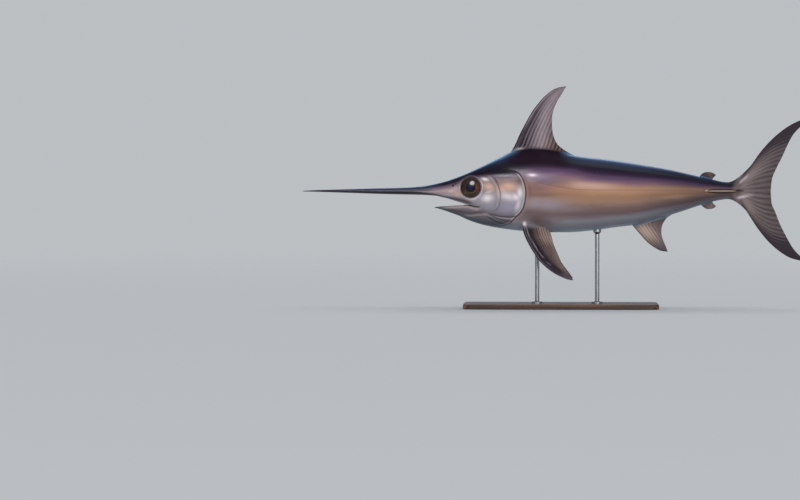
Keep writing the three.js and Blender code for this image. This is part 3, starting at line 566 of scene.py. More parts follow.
def upright_sheet(fin, rows, power):
    edge = up[:, -1] if fin.up > 0 else low[:, 0]
    xs = X if fin.up > 0 else Xb
    pick = (xs >= fin.x0 - 1e-6) & (xs <= fin.x1 + 1e-6)
    return fin.sheet(edge[pick][:, 0], edge[pick][:, 1:], fin_rows(rows, power))


def pectoral_sheet():
    c0 = centre[i0:i1 + 1]
    xs, base_y, base_z = c0[:, 0], c0[:, 1:2], c0[:, 2:3]
    x0, x1 = xs[0], xs[-1]
    z0, z1 = base_z[0, 0], base_z[-1, 0]
    s = ((xs - x0) / (x1 - x0))[:, None]
    v = fin_rows(34, 1.25)[None, :]
    lead = path([(x0, z0)] + PEC_FRONT)
    trail = path([(x1, z1), (-31, -245), (-24, -260), (-16, -293), (-5, -331), (18, -384), (37, -429), (67, -471), (90, -501), (108, -528)])
    px, pz = coons((xs[:, None], base_z), lead(v), trail(1 - s), (x0, z0), (x1, z1), (108.0, -528.0), s, v)
    splay = 0.14 + 0.17 * step(v, 0, 0.35)
    py = base_y + (base_z - pz) * splay
    c = np.stack([px, py, pz], -1)
    ring_dir = np.stack([0 * ya[i0:i1 + 1], (yb - ya)[i0:i1 + 1], (zb - za)[i0:i1 + 1]], -1)
    ring_dir /= np.linalg.norm(ring_dir, axis=1)[:, None]
    out_dir = np.array([0, math.cos(0.3), math.sin(0.3)])
    w = step(v, 0, 0.25)[..., None]
    nd = ring_dir[:, None, :] * (1 - w) + out_dir * w
    nd /= np.linalg.norm(nd, axis=-1)[..., None]
    e, t = pec_widths(s + 0 * v, v + 0 * s)
    width = (e * t)[..., None]
    j = int(np.argmax(v[0] >= 0.09))
    tau = np.clip(v / v[0, j], 0, 1)[..., None]
    sides = []
    for sign, root in ((1, mid[i0:i1 + 1, 0]), (-1, low[i0:i1 + 1, -1])):
        face = c + sign * width * nd
        p0, p2 = root[:, None, :], face[:, j:j + 1]
        p1 = c[:, :1] + sign * width[:, :1] * nd[:, :1] + 0.18 * (p2 - p0)
        rounded = (1 - tau) ** 2 * p0 + 2 * tau * (1 - tau) * p1 + tau ** 2 * p2
        face = np.where(tau < 1, rounded, face)
        face[:, 0] = root
        sides.append(face)
    outer, inner = sides
    seam = 0.5 * (outer + inner)
    for q in sides:
        q[0], q[-1], q[:, -1] = seam[0], seam[-1], seam[:, -1]
        q[0, 0] = low[i0, -1]
        q[-1, :] = low[i1, -1]
    return outer, inner, s + 0 * v, v + 0 * s


# ------------------------------------------------------------------ fields the strips carry
NAMES = ["fin", "ray", "rayv", "light", "warm", "mouth", "across", "amp"]


def plain(**kw):
    return {**dict(fin=0.0, ray=0.0, rayv=0.0, light=0.0, warm=0.0, mouth=0.0, across=0.0, amp=0.0), **kw}


strip(up[body], (0, 0, 1480, 360), **plain())
strip(up[head], (1480, 0, 680, 190), **plain())
strip(mid, (0, 360, 1480, 150), **plain())
strip(low, (0, 510, 1480, 130), **plain())
strip(jaw_mid, (1480, 190, 290, 80), **plain())
strip(jaw_low, (1480, 270, 290, 60), **plain())
deep = np.broadcast_to(np.arange(NM + 1)[None, :], roof.shape[:2])
strip(roof, (1780, 190, 380, 60), **plain(mouth=step(deep, 1.5, 5.5) * step(roof[..., 0], -735, -690)))
deep = np.broadcast_to(np.arange(NM + 1)[None, :], floor_.shape[:2])
strip(floor_, (1780, 250, 380, 60), **plain(mouth=step(deep, 1.5, 5.5)))

rr, vv = r + 0 * tail[..., 1], v + 0 * tail[..., 1]
sr = np.abs(rr)
tail_light = 0.22 + 0.24 * bump(vv - 0.32, 0.22) * (1 - step(sr, 0.30, 0.70)) - 0.24 * step(sr, 0.50, 0.76) * step(vv, 0.12, 0.26) - 0.06 * step(vv, 0.72, 1) + 0.14 * step(vv, 0.25, 0.08)
# Painted highlights near the upper lobe's root and midway out on both lobes.
tail_light += 0.34 * bump(vv - 0.14, 0.06) * bump(rr - 0.88, 0.12) + 0.20 * bump(vv - 0.50, 0.22) * bump(rr - 0.36, 0.13) + 0.14 * bump(vv - 0.45, 0.2) * bump(rr + 0.34, 0.14)
tail_light += 0.22 * step(rr, 0.975, 0.995) * step(vv, 0.9, 0.4)
strip(tail, (1480, 340, 330, 700), **plain(fin=step(vv, 0.01, 0.17), ray=np.arcsin(np.clip(rr, -1, 1)) / (math.pi / 2) * 22,
      rayv=vv, light=tail_light, warm=0.50 - 0.2 * step(sr, 0.68, 1.0) * step(vv, 0.8, 0.2), across=sr,
      amp=0.5 * step(vv, 0.12, 0.3) * (1 - 0.5 * step(sr, 0.7, 0.95))))

for fin, rows, power, rect in ((DORSAL, 31, 1.45, (1820, 340, 340, 340)), (ANAL, 24, 1.35, (1820, 690, 340, 190)),
                               (DORSAL2, 11, 1.3, (1820, 890, 160, 50)), (ANAL2, 11, 1.3, (1990, 890, 160, 50))):
    p, s_, v_, h_ = upright_sheet(fin, rows, power)
    back_, high = fin.behind(p[..., 0], p[..., 2])
    if fin is DORSAL:
        light = 0.15 + 0.52 * bump(back_ - 165 + 125 * high, 40 + 18 * (1 - high)) * step(h_, 4, 30) - 0.14 * step(back_, 13, 1)
        light += 0.50 * bump(back_ - 11, 3.4) * step(high, 0.30, 0.50) - 0.06 * bump(back_ - 26, 10) - 0.18 * step(high, 0.88, 1.0)
        # A painted highlight low at the front of the fin's base.
        light += 0.40 * bump(back_ - 42, 19) * bump(h_ - 14, 6) - 0.16 * step(s_, 0.90, 1.0)
        warm = 0.15 + 0.60 * step(back_, 120, 260) * step(high, 0.5, 0.1)
        amp = step(back_, 14, 45) * step(high, 0.98, 0.5) * step(h_, 6, 26)
    elif fin is ANAL:
        light = 0.28 + 0.80 * bump(back_ - 58 + 30 * high, 46) * bump(high - 0.22, 0.34) - 0.14 * step(high, 0.55, 1.0) - 0.06 * step(back_, 110, 190)
        light -= 0.14 * step(back_, 9, 0)
        warm = 0.80 - 0.6 * step(high, 0.45, 1.0) - 0.35 * step(back_, 90, 150)
        amp = step(back_, 3, 16) * step(back_, 150, 90) * step(high, 1.0, 0.55) * step(h_, 4, 16)
    else:
        light = (0.02 if fin is DORSAL2 else 0.20) + 0.16 * bump(v_ - 0.6, 0.25)
        warm, amp = 0.85 + 0 * v_, 0.2
    ray = fin.rays * back_ / (fin.x1 - fin.x0) / (1 - 0.28 * high)
    strip(p, rect, **plain(fin=step(h_, 0.35 * fin.fillet, 1.0 * fin.fillet), ray=ray, rayv=v_, light=light, warm=warm, across=s_, amp=amp))
outer, inner, s_, v_ = pectoral_sheet()
# A painted highlight runs down the paired fin along a line behind its leading edge, where a ridge would catch the
# light, and a brighter painted highlight sits at its root.
lx, lz = PEC_LEAD(np.linspace(0, 1, 201))
deep = -0.5 * (outer[..., 2] + inner[..., 2])
back_ = 0.5 * (outer[..., 0] + inner[..., 0]) - np.interp(deep, -lz, lx)
ridge = back_ - (20 + 0.085 * (deep - 199))
light = 0.02 + 0.17 * step(ridge, 8, 60) - 0.08 * step(deep, 290, 215) + 0.14 * step(v_, 0.80, 0.98) + 0.62 * bump(ridge, 2.8) * step(v_, 0.98, 0.4)
light += 0.9 * bump(ridge + 1, 8) * bump(deep - 201, 14) + 0.30 * step(back_, 74, 110) * step(deep, 345, 290) - 0.06 * bump(ridge - 14, 10)
light += 0.16 * step(s_, 0.93, 0.99) * step(deep, 300, 400)
warm = 0.25 + 0.60 * step(ridge, 2, 30)
pec = plain(fin=step(v_, 0.015, 0.1), ray=back_ / 14.5, rayv=v_, light=light, warm=warm, across=s_,
            amp=0.9 * step(back_, 66, 96) * step(deep, 360, 300) + 0.14 * step(ridge, 4, 20))
strip(outer, (0, 650, 300, 390), **pec)
strip(inner, (310, 650, 300, 390), **pec)


def laid_flat(p, rect):
    """Spreads a strip over its rectangle, by distance along its two ways."""
    def along(q):
        d = np.linalg.norm(np.diff(q, axis=0), axis=-1).mean(1)
        s = np.concatenate([[0], np.cumsum(d + 1e-6)])
        return s / s[-1]
    u, w = along(p), along(np.swapaxes(p, 0, 1))
    x0, y0, wide, tall = rect
    return (x0 + 3 + (wide - 6) * u)[:, None] + 0 * w[None, :], (y0 + 3 + (tall - 6) * w)[None, :] + 0 * u[:, None]


SHEET = 2200.0
all_p, all_f, quads, uvs = [], {k: [] for k in NAMES}, [], []
start = 0
for side in (1, -1):
    for p, rect, fields in strips:
        a, b = p.shape[:2]
        all_p.append((p * [1, side, 1]).reshape(-1, 3))
        for k in NAMES:
            all_f[k].append(fields[k].reshape(-1))
        idx = start + np.arange(a * b).reshape(a, b)
        quads.append(np.stack([idx[:-1, :-1], idx[:-1, 1:], idx[1:, 1:], idx[1:, :-1]], -1).reshape(-1, 4))
        u, w = laid_flat(p, rect)
        uvs.append(np.stack([u, w + (1060 if side < 0 else 0)], -1).reshape(-1, 2) / SHEET)
        start += a * b
P, Q, UV = np.concatenate(all_p), np.concatenate(quads), np.concatenate(uvs)
F = {k: np.concatenate(q) for k, q in all_f.items()}
_, first, back = np.unique(np.round(P, 2) + 0.0, axis=0, return_index=True, return_inverse=True)
back = back.reshape(-1)
faces, face_uv, seen = [], [], set()
for w_, q_ in zip(back[Q].tolist(), Q.tolist()):
    keep = [k for k in range(4) if w_[k] != w_[k - 1]]
    ids = [w_[k] for k in keep]
    if len(ids) >= 3 and len(set(ids)) == len(ids) and frozenset(ids) not in seen:
        seen.add(frozenset(ids))
        faces.append(ids)
        face_uv.extend(q_[k] for k in keep)
mesh = bpy.data.meshes.new("swordfish_skin")
mesh.from_pydata(P[first].tolist(), [], faces)
mesh.uv_layers.new(name="OFBake").data.foreach_set("uv", UV[face_uv].reshape(-1).astype(np.float32))
for k in NAMES:
    mesh.attributes.new(k, "FLOAT", "POINT").data.foreach_set("value", F[k][first].astype(np.float32))

# ------------------------------------------------------------------ finer mesh where the skin has detail, then its relief
bm = bmesh.new()
bm.from_mesh(mesh)


def face_out(b):
    """Turns every face outwards, which makes the enclosed volume positive."""
    bmesh.ops.recalc_face_normals(b, faces=b.faces)
    if b.calc_volume(signed=True) < 0:
        bmesh.ops.reverse_faces(b, faces=b.faces)
    b.normal_update()


face_out(bm)


def refine(choose):
    bm.verts.ensure_lookup_table()
    bm.verts.index_update()
    co = np.array([v_.co[:] for v_ in bm.verts])
    lay = {k: bm.verts.layers.float[k] for k in ("fin", "ray", "rayv", "mouth", "amp", "across")}
    fields = {k: np.array([v_[l] for v_ in bm.verts]) for k, l in lay.items()}
    edges = list(bm.edges)
    ends = np.array([(e_.verts[0].index, e_.verts[1].index) for e_ in edges])
    hit = choose(co, fields, ends)
    bmesh.ops.subdivide_edges(bm, edges=[edges[i] for i in np.flatnonzero(hit)], cuts=1, use_grid_fill=True)


def near_detail(co, f, ends):
    g = head_lines(co)
    x, y, z = co.T
    r = eye_distance(co)
    d = np.minimum(*[np.hypot(x - nx, z - nz) for nx, nz, _ in NOSTRILS])
    plain_skin = (f["fin"] < 0.01) & (f["mouth"] < 0.01)
    want = ((np.abs(r - 63) < 15) & (np.abs(y) > 15)) | ((d < 16) & (np.abs(y) > 8))
    want |= (np.abs(g["gill"] - 1) < 7) & (g["gill_on"] > 0.02)
    want |= ((np.abs(g["fold_a"]) < 7) | (np.abs(g["fold_b"]) < 7)) & (g["fold_on"] > 0.02)
    want |= (np.abs(g["foot"]) < 7) & (g["foot_on"] > 0.05)
    want |= (np.abs(g["preop"]) < 7) & (g["preop_on"] > 0.05)
    want |= (np.abs(z + 4) < 17) & (x > 862) & (x < 1116)
    want &= plain_skin | ((x > 862) & (x < 1116))
    across_ray = (f["fin"][ends].min(1) > 0.02) & (np.abs(np.diff(f["rayv"][ends], axis=1)[:, 0]) < 1e-4) & (
        np.abs(np.diff(f["ray"][ends], axis=1)[:, 0]) > 0.10) & (x[ends].max(1) < 720) & (f["amp"][ends].max(1) > 0.2) & (f["across"][ends].max(1) < 0.9)
    return (want[ends].all(1)) | across_ray


def near_eye(co, f, ends):
    x, y, z = co.T
    r = eye_distance(co)
    d = np.minimum(*[np.hypot(x - nx, z - nz) for nx, nz, _ in NOSTRILS])
    want = ((np.abs(r - 63) < 10) & (np.abs(y) > 15)) | ((d < 11) & (np.abs(y) > 8))
    return want[ends].all(1)


refine(near_detail)
refine(near_eye)
face_out(bm)
co = np.array([v_.co[:] for v_ in bm.verts])
nm = np.array([v_.normal[:] for v_ in bm.verts])
lay = {k: bm.verts.layers.float[k] for k in NAMES}
field = {k: np.array([v_[l] for v_ in bm.verts]) for k, l in lay.items()}
edge_on = np.abs(co[:, 1]) < 1e-4
lift = relief(co, field["fin"]) * (1 - step(field["mouth"], 0, 0.1))
nm[edge_on, 1] = 0
# Rays stand proud of the fins' membranes.
ray_room = step(field["fin"], 0.25, 0.8) * step(field["rayv"], 0.97, 0.86) * np.where(edge_on, 0, 1) * step(field["across"], 0.0, 0.1)
is_tail = co[:, 0] > 1030
ray_tall = np.where(is_tail, 0.8, 1.3) * (1 - 0.45 * field["rayv"]) * field["amp"]
lift += ray_room * ray_tall * (0.5 + 0.5 * np.cos(2 * math.pi * field["ray"]))
new = co + nm * lift[:, None]
stalk = (co[:, 0] > 860) & (field["mouth"] < 0.01) & ~edge_on
k = keel_out(co[:, 0], co[:, 2]) * step(np.abs(co[:, 1]), 0.5, 6) * stalk
new[:, 1] += np.sign(co[:, 1]) * k
new[edge_on, 1] = 0
for v_, c in zip(bm.verts, new):
    v_.co = c
face_out(bm)
open_edges = sum(1 for e_ in bm.edges if len(e_.link_faces) != 2)
triangles = sum(len(f_.verts) - 2 for f_ in bm.faces)
bm.to_mesh(mesh)
bm.free()
print("skin:", len(mesh.vertices), "vertices,", triangles, "triangles,", open_edges, "open edges")

# ------------------------------------------------------------------ fields for the skin's colours, taken at every point
g = head_lines(co)
x, y, z = co.T
body_part = (1 - step(field["fin"], 0.0, 0.6))
dark, top, bot = DARK(x), TOP(x), np.where(x < JAW_TIP, MARGIN(x), BOT(x))
tone = np.where(z > dark, 0.5 + 0.5 * (z - dark) / np.maximum(top - dark, 1), 0.5 * (z - bot) / np.maximum(dark - bot, 1))
beyond = step(x, 985, 1045)
tone = np.clip(tone, 0.13 * beyond, 1 - 0.22 * beyond)


def spots(*items):
    """Soft patches: centre, half lengths, tilt in degrees, strength."""
    out = np.zeros(len(x))
    for cx, cz, rx, rz, tilt, strength in items:
        c, s_ = math.cos(math.radians(tilt)), math.sin(math.radians(tilt))
        u, w_ = (x - cx) * c + (z - cz) * s_, -(x - cx) * s_ + (z - cz) * c
        out = np.maximum(out, strength * np.exp(-((u / rx) ** 2) - ((w_ / rz) ** 2)))
    return out * body_part


lens = np.sqrt(np.clip(1 - ((x - 982) / 86) ** 2, 0, 1))
lower_rear = np.clip(((x - EYE_C[0]) - (z - EYE_C[2])) / (1.4 * np.maximum(np.hypot(x - EYE_C[0], z - EYE_C[2]), 1)), -1, 1)
# Across the gill slit the colours change at once, and slowly where there is no slit.
soft = 2.0 + 50 * (1 - g["gill_on"])
behind_gill = step(g["gill"], 2 - soft, 2 + soft)
marks = {
    "tone": tone,
    "headness": np.maximum(1 - behind_gill, step(x, -60, -200) * step(z, 100, 180)),
    "billness": step(x, -640, -760),
    # Silver of the gill cover and cheek, partly their own colour and partly painted highlights, and painted glints
    # above them.
    "silver_and_highlights": spots((-274, -38, 56, 22, -12, 0.75), (-230, -42, 28, 18, -30, 1.0), (-206, -18, 16, 30, 0, 0.95), (-398, -47, 32, 22, 5, 0.95),
                    (-413, 64, 20, 7.0, -16, 1.0), (-470, -48, 26, 9, 32, 0.35), (-216, -86, 14, 40, -16, 0.6), (-389, -10, 24, 5, 12, 0.6)),
    "shade": spots((-205, 66, 23, 29, 0, 1.0), (-226, 98, 30, 12, -20, 0.6)) * (1 - behind_gill),
    # Lilac on the lower gill cover and cheek, and a thin painted sheen line under the dark back above the gill cover.
    "lilac_and_sheen": spots((-285, 85, 70, 5.0, 1, 1.0), (-270, -104, 62, 34, 12, 0.9), (-386, -96, 40, 22, -6, 0.6), (-440, -50, 22, 20, 0, 0.4)),
    "glint": spots((-134, 88, 22, 6.5, -2, 1.0)) * behind_gill,
    # Painted highlights where the paired fin and the back fin leave the body.
    "fin_root_highlight": np.maximum(np.exp(-(((x + 180) / 9) ** 2) - ((z + 197) / 10) ** 2),
                        0.35 * np.exp(-(((x + 212) / 26) ** 2) - ((z - TOP(x) - 11) / 5.5) ** 2)) * step(np.abs(y), 1.0, 3.0),
    # Peach on the cheek, the gill cover and the snout, and warm brown above it.
    "peach": spots((-270, 20, 52, 27, -6, 1.0), (-308, 6, 34, 24, 0, 0.9), (-388, 18, 31, 20, -8, 0.95), (-612, -9, 16, 10, 0, 0.6),
                   (-575, -22, 34, 16, -22, 0.5)),
    "brown": spots((-385, 60, 46, 22, 0, 0.75), (-300, 60, 70, 12, 0, 0.75), (-418, -2, 14, 30, 0, 0.45), (-540, -30, 26, 30, 20, 0.55)) * (1 - behind_gill),
    # Behind the gill opening: dull mauve, then grey below, and a pale streak over the lateral line that is partly its
    # own colour and partly a painted highlight.
    "mauve": (spots((-70, 58, 150, 40, -3, 1.0), (250, 66, 320, 14, -3, 0.35), (760, 34, 170, 16, -4, 0.5))
              * behind_gill),
    "rose": spots((-108, 8, 98, 34, 0, 1.0)) * behind_gill,
    "earth": spots((-96, -30, 110, 17, 0, 0.85)) * behind_gill,
    # lift: a painted sheen trailing back from the shoulder's glint, under the dark back.
    "lift": spots((-122, 87, 60, 12, -3, 0.9), (-30, 92, 66, 8, -5, 0.35)) * behind_gill,
    "streak": bump(z - (30 - 0.05 * (x - 100)), 20) * step(x, 40, 150) * step(x, 420, 230) * body_part,
    # Painted shade: a soft brown band just behind the gill slit.
    "shade_behind_gill": spots((-152, 0, 17, 58, 4, 0.85), (-120, 30, 40, 14, 0, 0.4)) * behind_gill,
    "grey": spots((-115, -78, 60, 34, 0, 1.0), (-40, -86, 120, 36, -3, 1.0), (60, -112, 120, 22, 2, 0.4)) * behind_gill,
    "dull": np.maximum(spots((-105, -182, 70, 44, -12, 1.0), (-60, -190, 50, 34, -14, 0.8)), step(x, -150, -110) * step(x, -20, -80)
                       * step(z, -150, -190) * 0.85) * behind_gill * (1 - step(field["fin"], 0.3, 1.0)),
    # A pale band low on the flank, and a thin painted pale rim along the belly's lower edge.
    "pale_band_and_belly_rim": (bump(z - (BOT(x) + 0.17 * (dark - BOT(x))), 17) * step(x, 20, 90) * step(x, 760, 560)
              + bump(z - (BOT(x) + 5), 5) * step(x, -440, -360) * step(x, 860, 700) * (1 - step(x, -230, -190) * step(x, 0, -50)) * 0.7) * body_part,
    # The rear of the trunk is darker, and painted shade darkens the belly before the anal fin's root, but for a light
    # patch low on the flank.
    "rear": np.maximum(step(x, 360, 880) * (1 - spots((690, -40, 95, 17, 4, 0.8))), spots((512, -188, 56, 22, 15, 0.7))) * body_part,
    "crown": step(x, -330, -195) * step(x, 130, 10) * step(z, TOP(x) - 100, TOP(x) - 62),
    # Painted highlights along the lower jaw's upper edge and on the ridge under its groove.
    "jaw_highlight": (bump(z - (JAW_ROW(x) - 8), 8) * step(x, -712, -640) * step(x, -425, -460)
                  + 0.75 * bump(g["groove"] + 14, 6.5) * step(x, -560, -500) * step(x, -372, -400)) * body_part,
    "jaw_dark": bump(z - (BOT(x) + 6), 12) * step(x, -716, -690) * step(x, -380, -520) * body_part,
    "snout": step(x, -860, -700) * step(x, -500, -560) * bump((z - (MARGIN(x) + 0.60 * (dark - MARGIN(x)))) / np.maximum(0.24 * (dark - MARGIN(x)), 4), 1.0) * body_part,
    # Painted shade along the lower margin of the bill and the upper jaw.
    "margin_shade": bump((z - (MARGIN(x) + 9 + 5 * step(x, -680, -560))) / (6.0 + 6 * step(x, -680, -560)), 1.0) * step(x, -1480, -1380) * step(x, -455, -520) * body_part,
    # The keel of the tail stalk and the ridge under it: painted highlights along their crests and at the keel's start,
    # and painted shade along the keel's edges.
    "keel_highlight": bump((z + 6) / np.maximum(3.8 * lens, 0.4), 1.0) * step(lens, 0.05, 0.4) * step(np.abs(y), 4, 12),
    "keel_start_highlight": np.exp(-(((x - 891) / 7) ** 2) - ((z + 4) / 4.5) ** 2) * step(np.abs(y), 4, 12),
    "keel_edge_shade": np.maximum(np.maximum(bump(z + 6 - 9.5 * lens, 4.4), bump(z + 6 + 9.5 * lens, 4.4)) * step(lens, 0.0, 0.5),
                        bump(z + 3 - 0.03 * (x - 1060), 4.4) * step(x, 1030, 1055) * step(x, 1160, 1110)) * step(np.abs(y), 4, 12),
    "ridge_highlight": np.maximum(bump(z - (-46 + (x - 1075) * 0.2), 7.5) * step(x, 1062, 1090) * step(x, 1196, 1150),
                              0.7 * bump(z - (44 + (x - 1088) * 0.84), 9) * step(x, 1080, 1094) * step(x, 1150, 1120)) * step(np.abs(y), 2, 8),
    # Painted shade in the mouth's gap between the jaws near the corner.
    "slit": np.where((x < CORNER + 3) & (x > -545), bump(z - (JAW_ROW(x) + 4.5), 3.2) * step(x, CORNER + 3, CORNER - 3) * step(x, -545, -530), 0),
    "eye": np.where(np.abs(y) > 12, eye_distance(co), 200.0),
    # A faint pale ring round the eye, with a painted highlight on it low behind the eye.
    "eye_rim_and_highlight": np.where(np.abs(y) > 12, bump(eye_distance(co) - 70.5, 3.2), 0) * (0.25 + 0.75 * step(lower_rear, -0.4, 0.8)),
    # Painted shade in the nostril pits.
    "nostril": np.where(np.abs(y) > 8, np.maximum(*[1 - step(np.hypot(x - nx, z - nz), 0.5 * rad, 1.25 * rad) for nx, nz, rad in NOSTRILS]), 0),
    "gill": np.where(g["gill_on"] > 0.01, g["gill"], 200.0), "gill_on": g["gill_on"] * body_part,
    "preop": g["preop"], "preop_on": g["preop_on"] * body_part,
    "foot": g["foot"], "foot_on": g["foot_on"] * body_part,
    "fold_a": g["fold_a"], "fold_b": g["fold_b"], "fold_on": g["fold_on"] * body_part,
    "groove": g["groove"], "groove_on": g["groove_on"] * body_part,
    "lateral": g["lateral"], "lateral_on": g["lateral_on"] * body_part,
    "keel": np.clip(k / 30.0, 0, 1),
}
for name, values in marks.items():
    mesh.attributes.new(name, "FLOAT", "POINT").data.foreach_set("value", np.asarray(values, np.float32))
flat = new / 1000.0
flat[:, 2] += AXIS / 1000.0
mesh.vertices.foreach_set("co", flat.reshape(-1).astype(np.float32))
mesh.polygons.foreach_set("use_smooth", [True] * len(mesh.polygons))
mesh.update()
mesh.set_sharp_from_angle(angle=math.radians(65))
skin = bpy.data.objects.new("swordfish_skin", mesh)
bpy.context.scene.collection.objects.link(skin)
FLESH = ["bill", "head", "lower_jaw", "gill_cover_left", "gill_cover_right", "trunk_front", "trunk_rear", "tail_stalk", "keel_left",
         "keel_right", "tail_fin_upper", "tail_fin_lower", "first_dorsal_fin", "second_dorsal_fin", "first_anal_fin",
         "second_anal_fin", "pectoral_fin_left", "pectoral_fin_right"]
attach(skin, "root")
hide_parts(*FLESH)


# ------------------------------------------------------------------ node materials, written as sums
def rgb(code):
    c = [int(code[i:i + 2], 16) / 255 for i in (1, 3, 5)]
    return tuple((q / 12.92 if q <= 0.04045 else ((q + 0.055) / 1.055) ** 2.4) for q in c) + (1.0,)


class Value:
    def __init__(self, m_, socket):
        self.m, self.s = m_, socket

    def __add__(self, o): return self.m.math("ADD", self, o)
    __radd__ = __add__
    def __sub__(self, o): return self.m.math("SUBTRACT", self, o)
    def __rsub__(self, o): return self.m.math("SUBTRACT", o, self)
    def __mul__(self, o): return self.m.math("MULTIPLY", self, o)
    __rmul__ = __mul__
    def __truediv__(self, o): return self.m.math("DIVIDE", self, o)


class Material:
    def __init__(self, name):
        self.mat = bpy.data.materials.new(name)
        self.mat.use_nodes = True
        self.tree = self.mat.node_tree
        self.shader = self.tree.nodes["Principled BSDF"]
        self.where = self.tree.nodes.new("ShaderNodeTexCoord").outputs["Object"]

    def put(self, socket, value):
        if isinstance(value, Value):
            self.tree.links.new(value.s, socket)
        elif isinstance(value, bpy.types.NodeSocket):
            self.tree.links.new(value, socket)
        else:
            socket.default_value = value

    def math(self, op, a, b=None, clamp=False):
        n_ = self.tree.nodes.new("ShaderNodeMath")
        n_.operation, n_.use_clamp = op, clamp
        self.put(n_.inputs[0], a)
        if b is not None:
            self.put(n_.inputs[1], b)
        return Value(self, n_.outputs[0])

    def field(self, name):
        n_ = self.tree.nodes.new("ShaderNodeAttribute")
        n_.attribute_name = name
        return Value(self, n_.outputs["Fac"])

    def smooth(self, a, lo, hi, out0=0.0, out1=1.0):
        n_ = self.tree.nodes.new("ShaderNodeMapRange")
        n_.interpolation_type = "SMOOTHSTEP"
        if lo > hi:
            lo, hi, out0, out1 = hi, lo, out1, out0
        self.put(n_.inputs["Value"], a)
        for key, val in (("From Min", lo), ("From Max", hi), ("To Min", out0), ("To Max", out1)):
            n_.inputs[key].default_value = val
        return Value(self, n_.outputs["Result"])

    def band(self, a, width):
        q = a * (1.0 / width)
        return self.math("EXPONENT", self.math("MULTIPLY", q, q) * -1.0)

    def noise(self, scale, detail=3.0, rough=0.5, stretch=(1, 1, 1)):
        mp = self.tree.nodes.new("ShaderNodeMapping")
        self.tree.links.new(self.where, mp.inputs["Vector"])
        mp.inputs["Scale"].default_value = stretch
        n_ = self.tree.nodes.new("ShaderNodeTexNoise")
        self.tree.links.new(mp.outputs["Vector"], n_.inputs["Vector"])
        n_.inputs["Scale"].default_value = scale
        n_.inputs["Detail"].default_value = detail
        n_.inputs["Roughness"].default_value = rough
        return Value(self, n_.outputs["Fac"])

    def ramp(self, a, stops):
        n_ = self.tree.nodes.new("ShaderNodeValToRGB")
        self.put(n_.inputs["Fac"], a)
        el = n_.color_ramp.elements
        el[0].position, el[0].color = stops[0][0], rgb(stops[0][1])
        el[1].position, el[1].color = stops[-1][0], rgb(stops[-1][1])
        for pos, code in stops[1:-1]:
            el.new(pos).color = rgb(code)
        return n_.outputs["Color"]

    def mix(self, factor, a, b, mode="MIX"):
        n_ = self.tree.nodes.new("ShaderNodeMix")
        n_.data_type, n_.blend_type, n_.clamp_factor = "RGBA", mode, True
        self.put(n_.inputs[0], factor)
        self.put(n_.inputs[6], rgb(a) if isinstance(a, str) else a)
        self.put(n_.inputs[7], rgb(b) if isinstance(b, str) else b)
        return n_.outputs[2]

    def bumped(self, height, distance, strength=1.0, base=None):
        n_ = self.tree.nodes.new("ShaderNodeBump")
        n_.inputs["Distance"].default_value = distance
        n_.inputs["Strength"].default_value = strength
        self.put(n_.inputs["Height"], height)
        if base is not None:
            self.tree.links.new(base, n_.inputs["Normal"])
        return n_.outputs["Normal"]


m_ = Material("skin")
tone = m_.field("tone")
mottle = m_.noise(14, 4, 0.6, (0.45, 1, 1.6))
streak = m_.noise(40, 3, 0.6, (0.12, 1, 2.2))
fine = m_.noise(260, 2, 0.6)
t_ = tone + ((mottle - 0.5) * 0.05 + (streak - 0.5) * 0.025)
# The highest stops of these ramps paint a pale blue rim highlight along the top edge, and the trunk ramp's lowest stops
# a painted pale rim along the belly's edge.
trunk = m_.ramp(t_, [(0.0, "#93a3b3"), (0.035, "#7f828e"), (0.09, "#82777b"), (0.14, "#6b5859"), (0.19, "#75605b"), (0.25, "#977766"),
    (0.30, "#99735a"), (0.36, "#b08265"), (0.40, "#9f7c69"), (0.435, "#846270"), (0.47, "#5a435e"), (0.51, "#3c2a3f"), (0.57, "#2e1f34"),
    (0.68, "#191321"), (0.80, "#20202f"), (0.90, "#343e5c"), (0.96, "#485f86"), (1.0, "#6d90b9")])
headc = m_.ramp(t_, [(0.0, "#3e4e5a"), (0.05, "#55535c"), (0.12, "#646068"), (0.20, "#7f7c82"), (0.29, "#8f8890"), (0.38, "#887a78"),
    (0.43, "#6b5158"), (0.47, "#564252"), (0.495, "#2b2032"), (0.53, "#110a18"), (0.62, "#16121f"), (0.80, "#1f1c2c"), (0.90, "#232f4b"),
    (0.955, "#577ea2"), (1.0, "#8db9de")])
billc = m_.ramp(t_, [(0.0, "#282e39"), (0.16, "#2b2d36"), (0.27, "#211c26"), (0.36, "#342e38"), (0.44, "#524d5a"), (0.495, "#595763"),
    (0.54, "#2b2b41"), (0.70, "#2e364b"), (0.86, "#2f405c"), (0.95, "#44628a"), (1.0, "#7ba2c2")])
colour = m_.mix(m_.field("headness"), trunk, headc)
colour = m_.mix(m_.field("billness"), colour, billc)
# A pale streak over the lateral line, partly a painted highlight.
colour = m_.mix(m_.field("streak") * 0.75, colour, "#c8a294")
colour = m_.mix(m_.field("mauve") * 0.92, colour, "#5b4762")
colour = m_.mix(m_.field("rose") * 0.9, colour, "#7a5c5f")
colour = m_.mix(m_.field("earth") * 0.85, colour, "#6d5048")
# A painted sheen trailing back from the shoulder's glint.
colour = m_.mix(m_.field("lift") * 0.85, colour, "#8b7690")
# Painted shade in a band just behind the gill slit.
colour = m_.mix(m_.field("shade_behind_gill") * 0.8, colour, "#6e5049")
colour = m_.mix(m_.field("grey") * 0.9, colour, "#91868f")
colour = m_.mix(m_.field("dull") * 0.9, colour, "#5c4a4a")
